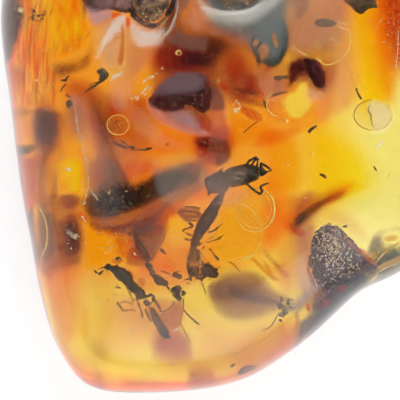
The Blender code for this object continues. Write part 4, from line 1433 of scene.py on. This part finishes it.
def make_wings():
    """Wings: thin brown sheets with darker veins."""
    flow("dark_wings", [
        ((184, 207, 199, 208, 200, 212, 206, 214, 208, 218, 202, 222, 198, 220, 185, 221, 180, 217, 176,
         212), 11.5, 0.12, *FILMY),
        ((132, 228, 146, 226, 160, 225, 165, 231, 163, 240, 157, 250, 152, 260, 146, 264, 140, 258, 135,
         245), 10.4, 0.25, (), 0.2, (0, 0), FINE),
        ((132, 230, 138, 233, 141, 241, 152, 259, 145, 263, 135, 247), 10.8, 0.14, *FILMY),
        ((122.7, 269, 130.8, 270.5, 134, 276.2, 132, 281, 127, 277), 11.3, 0.12, *FILMY),
    ], (0.40, 0.16, 0.10), 0.35, 0.8, film=0.45, film_colour=(0.16, 0.05, 0.03), grit=GRIT, slot="wing")
    flow("sheer_wings", [
        ((124, 261, 132, 268, 147, 266, 150, 255, 142, 246, 131, 245), 10.2, 0.3, (), 0.2, (0, 0), FINE),
        ((174, 301, 184, 299, 182, 320, 179, 327, 168, 328, 159, 322, 160, 313, 168, 309), 10.6, 0.16,
         *GENTLE),
        ((143, 276, 147, 283, 142, 289, 138, 286, 137, 279), 10.6, 0.18, *FILMY),
        ((147, 302, 158, 313, 156, 320, 150, 320, 146, 312), 10.2, 0.2, *GENTLE),
        ((108, 262, 118, 256, 124, 260, 118, 266), 10, 0.2, *GENTLE),
    ], (0.72, 0.42, 0.32), 0.4, 0.8, film=0.4, film_colour=(0.42, 0.17, 0.12), grit=GRIT, slot="wing")
    veins = cuticle_material("wing_veins", (0.03, 0.012, 0.01), (0.09, 0.035, 0.025), 0.3, 0.5)
    strands("wing_veins", veins, [
        [(177, 213, 0.8), (186, 211, 0.9), (200, 213, 0.9)],
        [(179, 216, 0.6), (190, 216, 0.7), (200, 217.6, 0.7)],
        [(184, 207, 1), (192, 206.8, 1.3), (200, 208.6, 1.1)],
        [(184.7, 220.7, 0.9), (192, 220.9, 1), (199, 220.4, 0.9)],
        [(133, 229, 1), (146, 226.6, 0.9), (160, 225.6, 0.8), (165, 231, 0.8), (163, 240, 1), (157, 250, 1),
         (152, 260, 1.2)],
        [(128.6, 231.6, 2.2), (130.8, 236.6, 1.8)],
        [(134, 230, 1.4), (139, 240, 2.4), (146, 251, 2.6), (150, 260, 2.4)],
        [(139, 234, 0.8), (149, 236, 0.8), (155, 240, 0.6)],
        [(142, 240, 0.7), (150, 244, 0.7), (157, 248, 0.6)],
        [(148, 226.6, 2), (150, 230, 2.4), (152, 232, 1.2)],
        [(174.4, 301, 1.4), (170, 308, 0.9), (160, 313, 0.8)],
        [(183.6, 298.6, 1.2), (183.4, 308.8, 0.9), (180, 325, 0.8)],
    ], 11.2)


def make_small_insects():
    dusky = cuticle_material("dusky_cuticle", (0.02, 0.03, 0.04), (0.06, 0.075, 0.085), 0.3, 0.4)
    bodies("gnat_body", dusky, [
        ((96.6, 71.6, 99, 69, 103, 67.6, 107, 71, 109, 75.4, 106, 79.4, 103, 82, 99.6, 82.6, 98.6, 78.4,
         99.6, 75), 11.4, 1, 0.5, 0.07, ((0.2, 0.08),)),
    ])
    legs = cuticle_material("gnat_legs", (0.03, 0.018, 0.012), (0.09, 0.055, 0.035), 0.3, 0.5)
    strands("gnat_legs", legs, [
        [(102, 81, 1.8), (96, 84.6, 1.8), (90, 88.4, 1.5), (85, 92.6, 0.9)],
        [(99, 82, 1.2), (94, 83, 1), (89, 85.4, 0.8)], [(97, 85, 1.1), (93, 88.6, 0.8), (89.6, 90.6, 0.6)],
        [(97, 72, 1.6), (99.6, 74, 1.6)],
        [(60.4, 80.6, 1), (63, 80, 2), (65.6, 80.4, 2.6), (67, 77, 1.2), (69.6, 76.4, 1)],
        [(66, 84, 1.4), (63.6, 87, 1.2), (60, 91.6, 1)],
        [(66.6, 93.6, 1.2), (68.4, 96.8, 1.2), (71, 97, 1), (72.6, 99.6, 0.8)],
        [(113, 141, 2.2), (118, 144.6, 3.6), (123, 146.6, 3), (127, 148.6, 2)],
        [(120, 139.6, 1), (124, 142.6, 1.6), (128, 146, 1.2), (133, 148, 4), (135, 148.6, 1.5)],
        [(136, 149.6, 1.2), (142.6, 149.8, 1.6), (145, 150, 1)],
        [(144.8, 150.6, 1), (148.6, 148.8, 2.8), (151.8, 148.4, 1)],
        [(146, 147.4, 0.8), (150, 148.6, 1.2), (152, 146.6, 0.8)], [(165.6, 145.6, 1.2), (168.6, 143, 1.6)],
        [(308.4, 132.6, 3), (311.6, 129, 3), (316.6, 125.8, 2)],
        [(319.6, 174, 1.6), (323.6, 175.8, 3), (326, 178, 1.4)],
        [(373.6, 166, 0.8), (375.2, 168.6, 1.8), (376.6, 171, 1)],
        [(356.2, 88, 2), (357.6, 93, 1.6), (361.4, 99, 2.4)],
        [(115.6, 259, 1.2), (118.4, 258.4, 3.6), (120.8, 259.4, 1.4)],
        [(230.6, 366.6, 1), (232.6, 365.4, 3.4), (234.6, 363.8, 1)],
    ], height=10.8)
    bodies("dark_ovals", legs, [
        ((67, 101, 69.6, 100, 72, 103, 71, 107, 68.4, 108, 66.6, 105), 10.4, 0.4, 0.2, 0.06, ((0.2, 0.06),)),
        ((237, 373, 241, 369.4, 249, 366, 256.6, 366, 254, 368.8, 247, 372, 240, 374.6), 7.6, 0.25, 0.15,
         0.07, ((0.2, 0.04),)),
        ((341.6, 225, 346.4, 225, 347, 227.4, 343.6, 227.6), 11.6, 0.3, 0.12, 0.06, ((0.2, 0.06),)),
        ((314.6, 21.4, 320, 18.6, 330, 19.4, 336, 22.4, 334, 25.8, 324, 27.2, 317, 25.6), 11, 0.5, 0.25,
         0.07, ((0.2, 0.06),)),
    ])


# ---------------------------------------------------------------- discs, gas and grit


def ellipse(x, y, wide, high, turn=0, count=18):
    """The outline of an ellipse in pixels, turned in degrees."""
    cosine, sine = math.cos(math.radians(turn)), math.sin(math.radians(turn))
    outline = []
    for i in range(count):
        angle = 2.0 * math.pi * i / count
        across, down = wide * math.cos(angle), high * math.sin(angle)
        outline += (x + across * cosine - down * sine, y + across * sine + down * cosine)
    return outline


def ring(outline, width, part=(0, 1)):
    """A strand along part of a closed outline."""
    line = smooth_loop(pairs(outline), 3)
    first, last = (round(share * len(line)) for share in part)
    return [(*line[i % len(line)], width) for i in range(first, last + 1)]


def make_discs():
    """Sun spangles: round cracks that opened around droplets, seen by their bright rims."""
    big = ellipse(255, 210, 19.5, 22, 12)
    wide = (205, 262, 212, 240, 212, 215, 218, 204, 232, 202, 250, 208, 260, 224, 261, 240, 252, 256, 236,
            262)
    fan = (314, 14, 336, 16, 348, 24, 350, 38, 347, 52, 338, 61, 326, 65, 316, 58, 308, 56, 297, 50, 292, 42,
           292, 28, 298, 17, 308, 11)
    clear = ellipse(278, 103, 11, 13, 15)
    round_disc = ellipse(373, 115, 19, 15, 0)
    small = ellipse(118, 125, 11, 10, 0)
    low = ellipse(105, 286, 12, 16, 0)
    flow("disc_films", [
        (big, 11.8, 0.1, (), 0.1, (0.05, 0), FINE), (wide, 10.6, 0.2, (), 0.1, (0, 0.05), FINE),
        (fan, 10.6, 0.15, *GENTLE), (clear, 10.6, 0.1, *GENTLE), (round_disc, 11.4, 0.1, *GENTLE),
        (small, 10.8, 0.1, *GENTLE), (low, 9.8, 0.15, *GENTLE),
    ], (1, 0.97, 0.86), 0.6, 0.5, film=0.30, film_colour=(1, 0.70, 0.22), slot="gas")
    flow("pale_films", [
        ((369, 102, 384, 103, 392, 115, 387, 128, 376, 131, 372, 127, 372, 118, 367, 112), 11.6, 0.1,
         *GENTLE),
        ((330, 36, 345, 43, 339, 45, 331, 40), 11.4, 0.1, *FILMY),
    ], (1, 1, 1), 0.7, 0.5, film=0.55, film_colour=(1, 0.98, 0.88), contrast=0.1, through=0.6, slot="gas")
    flow("sunny_chips", [
        ((270.6, 36, 275, 40, 278, 45, 274, 47.6, 271, 43), 11, 0.1, *GENTLE),
        ((289, 49, 292, 46, 293, 40, 295.6, 46, 295, 52, 291.6, 53.6), 11, 0.1, *GENTLE),
    ], (1, 0.95, 0.6), 0.2, 1.2, film=0.9, film_colour=(1, 0.72, 0.20), slot="gas")
    gold = cuticle_material("gold_edge", (0.95, 0.55, 0.06), (1, 0.80, 0.30), 0.5, 0.35)
    strands("disc_rims", gold, [
        ring(big, 1), ring(big, 2.4, (0.86, 1.12)), ring(ellipse(256, 210, 15, 18, 12), 0.6),
        ring(wide, 1, (0.3, 0.9)), ring(fan, 1.6, (0.18, 0.5)), ring(fan, 1.4, (0.56, 0.68)),
        ring(clear, 1.5, (0.2, 0.62)), ring(round_disc, 1.1, (0.75, 1.3)), ring(small, 1), ring(low, 0.7),
        ring(low, 1.5, (0.08, 0.42)),
        [(32, 201, 0.6), (38, 206, 1.6), (44, 217, 2), (47, 230, 2.2), (47, 242, 2.6), (44.6, 250, 2.4),
         (41.4, 257, 0.8)],
        [(19, 167, 0.6), (22, 172, 1.1), (24.6, 180, 1.4), (24.4, 187, 1.3), (22.6, 192, 0.8)],
        [(258.8, 159, 1), (258.6, 165, 1.4), (259.8, 172, 1.2), (260.4, 177, 0.8)],
        [(259.6, 158.4, 2.2), (260.4, 160.4, 2)], [(313, 54, 0.5), (317, 44, 1), (321, 35, 0.6)],
        [(310, 50, 0.4), (314, 42, 0.8), (318, 34, 0.5)], [(319, 52, 0.4), (322, 44, 0.8), (326, 36, 0.5)],
        [(338, 22, 1.6), (344, 24, 2), (348, 26, 1.2)], [(336, 26, 1), (344, 29, 1.4), (349, 30, 0.8)],
        [(160, 27, 1), (164, 22, 2), (168, 14, 1.4), (172, 7, 1)],
        [(268, 245, 0.5), (262, 252, 0.7), (250, 256, 0.9), (232, 260, 0.6)],
    ], 12.2)
    brown = cuticle_material("brown_edge", (0.20, 0.07, 0.01), (0.42, 0.20, 0.04), 0.5, 0.35)
    strands("brown_rims", brown, [
        ring(round_disc, 0.9, (0.26, 0.78)), ring(small, 0.6, (0.3, 0.9)), ring(clear, 0.8, (0.3, 0.75)),
        [(371, 104, 0.5), (368, 110, 1), (371, 115, 1.6), (371, 120, 0.9), (373, 127, 0.6)],
    ], 12.1)
    cream = crumb_material(
        "cream_flake_and_highlight", (0.80, 0.66, 0.50), (0.95, 0.88, 0.78), 0.3, (1, 0.97, 0.92), 0.6, 0.35, 0.06)
    flow("glassy_flakes", [
        ((142, 81, 152, 74, 158, 73, 153, 79, 145, 83), 11.2, 0.08, *GENTLE),
        ((140, 94, 147, 85, 152, 84, 153, 87, 146, 96), 11.2, 0.08, *GENTLE),
        ((130, 98, 139, 94, 139, 100, 133, 103), 11.2, 0.08, *GENTLE),
        ((232, 107, 234, 101, 238, 99, 241, 104, 240, 110, 235, 114), 11, 0.08, *GENTLE),
        ((238.6, 80, 241, 77.6, 243.6, 80, 242, 83, 239.6, 83), 11, 0.08, *GENTLE),
        ((160, 69, 163, 66.6, 165, 68.6, 163, 70.6), 11, 0.08, *GENTLE),
        ((231, 350, 236, 352, 241.6, 350.6, 238.6, 355, 236.6, 359.6, 233.6, 354), 9, 0.08, *GENTLE),
        ((14, 8, 20, 6, 25, 10, 27, 15, 15, 11), 8.6, 0.08, *GENTLE),
        ((34, 79.6, 36.6, 78.8, 37.6, 81, 35, 82), 9.4, 0.08, *GENTLE),
    ], (1, 0.96, 0.9), 1, 0.4, film=1, film_colour=(1, 0.86, 0.76), contrast=0.07, through=0.1, slot="gas")
    # A painted highlight on the beetle's back, in the cream material of the threads.
    strands("beetle_glint", cream, [
        [(232.6, 177, 0.8), (236.6, 178, 2.2), (240.4, 178.8, 0.8)],
        [(234, 173.4, 0.4), (238, 173, 1), (243, 172.4, 0.4)],
    ], 13.7)
    # Cream threads in the resin; two of the lines are painted highlights.
    strands("cream_threads_and_highlights", cream, [
        [(72, 95, 0.4), (74.6, 103, 0.6), (76, 112, 0.5), (77.6, 122, 0.6), (78.4, 131, 0.5), (81, 143, 0.4),
         (84.6, 156, 0.5), (88, 168, 0.6), (88.6, 178, 0.7), (87.6, 188, 0.7), (86, 196, 0.9), (84, 203,
         0.7)],
        [(90.6, 190, 1), (94, 195, 1), (98, 200, 0.8)], [(82.6, 216, 2), (84, 219, 1.4), (86, 221.6, 1)],
        [(129.6, 328.6, 1.6), (131.4, 332, 1.6), (133, 334.6, 1)], [(152, 334, 1), (153.6, 337.6, 1)],
        [(173.6, 330.6, 1.6), (177, 329.6, 1.8), (179, 327.6, 1.2)],
        [(170, 364.6, 1.2), (173, 364.2, 1.6), (175, 363.4, 0.8)], [(199, 262.6, 1.8), (200.6, 263.6, 1.6)],
        [(160, 313.6, 1.2), (161.4, 312.6, 1)],
        # A painted highlight: the silvery arc along the dark rind's rim.
        [(155, 45, 1.4), (160, 40, 2), (167, 33, 2.4), (172.6, 24, 2.6), (176, 14, 2.2), (178, 4, 1.6)],
        [(227, 348.6, 0.5), (231, 350.6, 1), (234.6, 353, 0.8)],
        [(236.6, 359.6, 0.8), (240, 353, 0.9), (244, 347.6, 0.6), (247.6, 343, 0.4)],
        # The line near across 397 is a painted highlight.
        [(134, 253, 1.8), (136, 255.4, 1.4)], [(396, 70, 0.6), (397.6, 50, 0.8), (398.6, 30, 0.5)],
        [(66.6, 168.6, 3), (69, 169.6, 3.4), (70.6, 171, 2)],
    ], 12.4)


def make_specks():
    """Grains of dust, and bubbles too small to see through."""
    cream = crumb_material(
        "cream_dust", (0.72, 0.55, 0.42), (0.92, 0.80, 0.68), 0.3, (1, 0.9, 0.8), 0.6, 0.5, 0.03)
    beads = [(77, 120), (78, 130), (80, 140), (83, 150), (86, 160), (88, 170), (88.6, 180),
             (87.6, 188), (86, 196), (84, 203)]
    grains("pale_dust", cream, [
        *((x, y, 12.4, 1.4, 1.1, 9) for x, y in beads), (328, 240, 13.6, 1.8, 7, 80),
        (334, 256, 13.6, 1.9, 10, 80), (322, 290, 12.6, 1.4, 16, 30), (110, 232, 11.8, 1.3, 26, 80),
        (120, 200, 11.8, 1.3, 18, 50), (200, 100, 11.4, 1.2, 12, 36), (170, 104, 11, 1, 9, 34),
        (208, 150, 10.8, 1, 10, 26), (90, 180, 11, 0.9, 12, 30), (250, 90, 11.2, 1.1, 12, 24),
        (315, 75, 10.6, 1, 7, 20), (70, 240, 10.8, 1.1, 9, 22), (240, 240, 11.6, 0.8, 30, 40),
        (210, 60, 11.4, 0.9, 16, 26), (300, 170, 11, 0.8, 45, 40), (100, 300, 10.8, 0.8, 24, 26),
        (340, 100, 11.2, 0.8, 26, 24), (60, 90, 10.6, 0.9, 18, 24), (386, 30, 10.8, 1.2, 14, 50),
        (280, 60, 12, 1.1, 50, 60), (150, 150, 12, 1.1, 50, 60), (200, 250, 12, 1.1, 60, 60),
        (150, 60, 11, 1.1, 20, 20), (76, 235, 11.4, 2, 3, 6), (110, 248, 11.4, 1.8, 3, 5),
    ], 3)
    dark = crumb_material(
        "dark_dust", (0.03, 0.008, 0.006), (0.12, 0.03, 0.02), 0.3, (0.2, 0.05, 0.03), 0.7, 0.5, 0.03)
    grains("dark_dust", dark, [
        (34, 12, 10.8, 1.8, 1.4, 8), (37, 17, 10.8, 1.9, 2.4, 14), (42, 14, 10.8, 1.8, 1.8, 10),
        (33, 19, 10.8, 1.8, 1.2, 6), (200, 108, 10.6, 1.6, 6, 26), (284, 309, 10.4, 3, 5, 26),
        (212, 272, 11.4, 2.2, 6, 20), (195, 272, 11.4, 2, 5, 12), (50, 120, 9, 1.4, 6, 10),
        (120, 124, 10.8, 1.6, 2.4, 10), (70, 34, 10.6, 1.2, 6, 4), (240, 220, 10.4, 0.8, 40, 30),
        (130, 330, 10, 0.8, 40, 20), (300, 110, 10.4, 0.8, 40, 20), (100, 100, 10, 1, 14, 16),
    ], 5)
    gritty = crumb_material(
        "gold_grit", (0.75, 0.42, 0.16), (0.95, 0.78, 0.45), 0.3, (1, 0.9, 0.7), 0.6, 0.4, 0.03)
    grains("gold_grit", gritty, [
        (336, 244, 13.4, 2.4, 6, 16), (328, 250, 13.4, 1.6, 9, 34), (336, 262, 13.4, 1.8, 10, 36),
        (352, 266, 12.8, 2, 5, 16), (150, 12, 13.2, 1.8, 10, 40), (238, 4, 13.4, 1.8, 12, 30),
        (110, 4, 12.2, 1.3, 12, 30), (300, 115, 10.8, 0.7, 6, 10),
    ], 9)
    copper = cuticle_material("copper_crack", (0.55, 0.22, 0.10), (0.95, 0.62, 0.36), 0.5, 0.35)
    strands("edge_cracks", copper, [
        [(362, 277, 1), (372, 275, 2.4), (382, 270, 2), (392, 266, 2.2), (404, 261, 1.6)],
        [(353, 297, 1.2), (358, 291, 2.2), (364, 287, 2.6), (372, 284, 2.4), (378, 283, 1)],
        [(374, 264, 1), (382, 256, 1.6), (390, 250, 1.4), (400, 244, 1.2)],
        [(300, 287, 1.4), (306, 290, 0.6)],
    ], 9.6)


def make_bubbles():
    """Clear bubbles of gas."""
    material, nodes, links, shader = new_material("gas_bubble")
    shader.inputs["Transmission Weight"].default_value = 1.0
    shader.inputs["IOR"].default_value = 1.0 / AMBER_IOR
    shader.inputs["Roughness"].default_value = 0.0
    tone = noise_value(nodes, links, 0.5)
    tint = colour_mix(nodes, links, ranged(nodes, links, tone, 0.3, 0.7), (0.98, 0.98, 0.98),
                      (1, 1, 1))
    links.new(tint, shader.inputs["Base Color"])
    bubbles = (
        (178.6, 53, 11.4, (0.5, 0.5, 0.4), 0), (285.6, 121, 11, (0.42, 0.42, 0.35), 0),
        (243.6, 9, 12.8, (0.4, 0.4, 0.35), 0), (218, 81, 11.6, (0.24, 0.3, 0.25), 0),
        (212, 16, 12.6, (0.25, 0.2, 0.2), 0), (312, 154, 11.6, (0.22, 0.22, 0.2), 0),
        (287, 165, 11.6, (0.3, 0.2, 0.2), 0), (305, 198, 11.2, (0.5, 0.16, 0.16), 20),
        (353, 76, 11.2, (0.2, 0.2, 0.2), 0), (390, 175, 10.8, (0.3, 0.2, 0.2), 60),
    )
    lumps("gas_bubbles", material, [
        (x, y, height, size, (0, 0, turn), (), 3) for x, y, height, size, turn in bubbles
    ])


# ---------------------------------------------------------------- all of it


nugget = make_nugget()
make_studio()
make_base_flows()
make_honey_flows()
make_slivers()
make_red_flows()
make_dark_flows()
make_mauve_flows()
make_painted_reflections()
make_painted_sheens()
make_milk()
make_hazes()
make_dome()
make_corner()
make_debris()
make_beetle()
make_long_insects()
make_wings()
make_small_insects()
make_discs()
make_specks()
make_bubbles()
